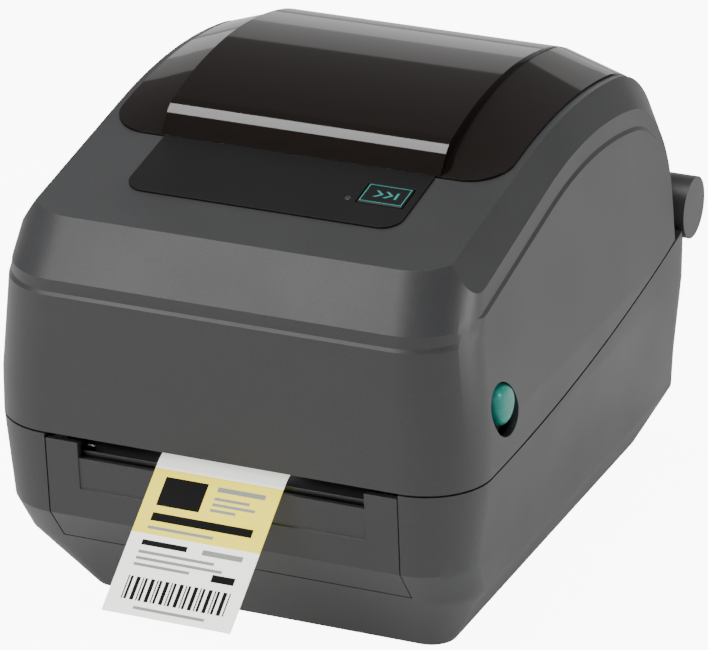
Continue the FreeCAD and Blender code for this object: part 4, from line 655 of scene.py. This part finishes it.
# Latch: a steel shaft across the cover with a black moulded lever at each end. A domed, glossy teal
# thumb piece on the lever shows in the side of the cover.
softened("latch_shaft", "latch", steel_x, width=0.0004)
teal_gloss = plastic("teal_gloss", (0.008, 0.26, 0.21), roughness=0.28, grain=500.0, depth=0.00001)
shader_of(teal_gloss).inputs["Specular IOR Level"].default_value = 0.3
lever_face, lever_stub = 0.091, 0.0003
thumb_reach = 0.0059
thumb_middle = Vector((0.0, -0.0618, 0.1058))
thumb_tilt = math.radians(40.0)
thumb_long, thumb_short, thumb_taper, thumb_fullness = 0.0112, 0.0074, 0.3, 3
for side, lever in ((-1, "latch_lever_left"), (1, "latch_lever_right")):
    arm = softened(lever, "latch", black_plastic, width=0.0006)
    for vert in arm.data.vertices:
        vert.co.x = side * min(abs(vert.co.x), lever_face + lever_stub)
    dome = bmesh.new()
    bmesh.ops.create_uvsphere(dome, u_segments=48, v_segments=24, radius=1.0)
    bmesh.ops.bisect_plane(dome, geom=dome.verts[:] + dome.edges[:] + dome.faces[:], dist=0.00001,
                           plane_co=(0, 0, 0), plane_no=(0, 0, 1), clear_inner=True)
    for vert in dome.verts:
        along, aside = vert.co.xy
        out = (1.0 - min(1.0, vert.co.xy.length) ** thumb_fullness) ** (1 / thumb_fullness)
        aside *= 1.0 + thumb_taper * along
        down = thumb_long * along
        up = thumb_short * aside
        vert.co = thumb_middle + Vector((
            side * (lever_face + thumb_reach * out),
            down * math.cos(thumb_tilt) + up * math.sin(thumb_tilt),
            up * math.cos(thumb_tilt) - down * math.sin(thumb_tilt)))
    rim = [edge for edge in dome.edges if edge.is_boundary]
    bmesh.ops.edgeloop_fill(dome, edges=rim)
    bmesh.ops.recalc_face_normals(dome, faces=dome.faces)
    thumb = finished(dome, "thumb_" + lever, teal_gloss, smooth=True)
    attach(thumb, "latch")


# Studio: a pale floor that shows white to the camera, white surroundings, soft lights in front,
# above, on the right and low behind, and a camera at the photo's angle.
floor_pale = plastic("floor_pale", (0.6, 0.6, 0.6), roughness=0.9, grain=3000.0, depth=0.00001)
floor_tree, floor_shader = floor_pale.node_tree, shader_of(floor_pale)
floor_shader.inputs["Emission Strength"].default_value = 1.0
to_camera = floor_tree.nodes.new("ShaderNodeLightPath").outputs["Is Camera Ray"]
floor_glow = blend(floor_tree, to_camera, (0.4, 0.4, 0.4), (9.0, 9.0, 9.0))
floor_tree.links.new(floor_glow, floor_shader.inputs["Emission Color"])
floor_half = 4.0
ground = bmesh.new()
bmesh.ops.create_grid(ground, x_segments=2, y_segments=2, size=floor_half)
studio_floor = finished(ground, "studio_floor", floor_pale)

world = bpy.data.worlds.new("studio_white")
world.use_nodes = True
backdrop = world.node_tree.nodes["Background"]
backdrop.inputs["Color"].default_value = (1.0, 1.0, 1.0, 1.0)
backdrop.inputs["Strength"].default_value = 0.26
bpy.context.scene.world = world


def softbox(name, place, aim, wide, tall, power):
    """A rectangular soft light, turned to a point."""
    lamp = bpy.data.lights.new(name, "AREA")
    lamp.shape = "RECTANGLE"
    lamp.size = wide
    lamp.size_y = tall
    lamp.energy = power
    holder = bpy.data.objects.new(name, lamp)
    holder.location = place
    holder.rotation_euler = (Vector(place) - Vector(aim)).to_track_quat("Z", "Y").to_euler()
    bpy.context.collection.objects.link(holder)


softbox("softbox_front", (-0.7, -1.4, 1.2), aim=(0.0, 0.0, 0.12), wide=1.0, tall=0.6, power=15.0)
softbox("softbox_top", (-0.3, -0.3, 1.9), aim=(-0.3, -0.3, 0.0), wide=1.6, tall=0.8, power=38.0)
softbox("softbox_right", (1.9, 0.5, 0.3), aim=(0.0, 0.05, 0.1), wide=0.9, tall=0.4, power=15.0)
softbox("softbox_rear_low", (-0.9, 2.4, 0.35), aim=(0.0, 0.05, 0.15), wide=3.0, tall=0.5, power=4.2)
softbox("softbox_rear_high", (-0.9, 2.4, 0.9), aim=(0.0, 0.05, 0.15), wide=3.0, tall=0.6, power=2.4)

lens = bpy.data.cameras.new("photo_camera")
lens.sensor_width = 36.0
lens.lens = 262.07
lens.clip_end = 50.0
azimuth, elevation, distance = math.radians(22.88), math.radians(22.96), 1.976
target = Vector((0.0001, 0.02306, 0.0876))
level_reach = math.cos(elevation)
away = Vector((
    math.sin(azimuth) * level_reach, -math.cos(azimuth) * level_reach, math.sin(elevation)))
camera = bpy.data.objects.new("photo_camera", lens)
camera.location = target + away * distance
camera.rotation_euler = away.to_track_quat("Z", "Y").to_euler()
bpy.context.collection.objects.link(camera)
bpy.context.scene.camera = camera
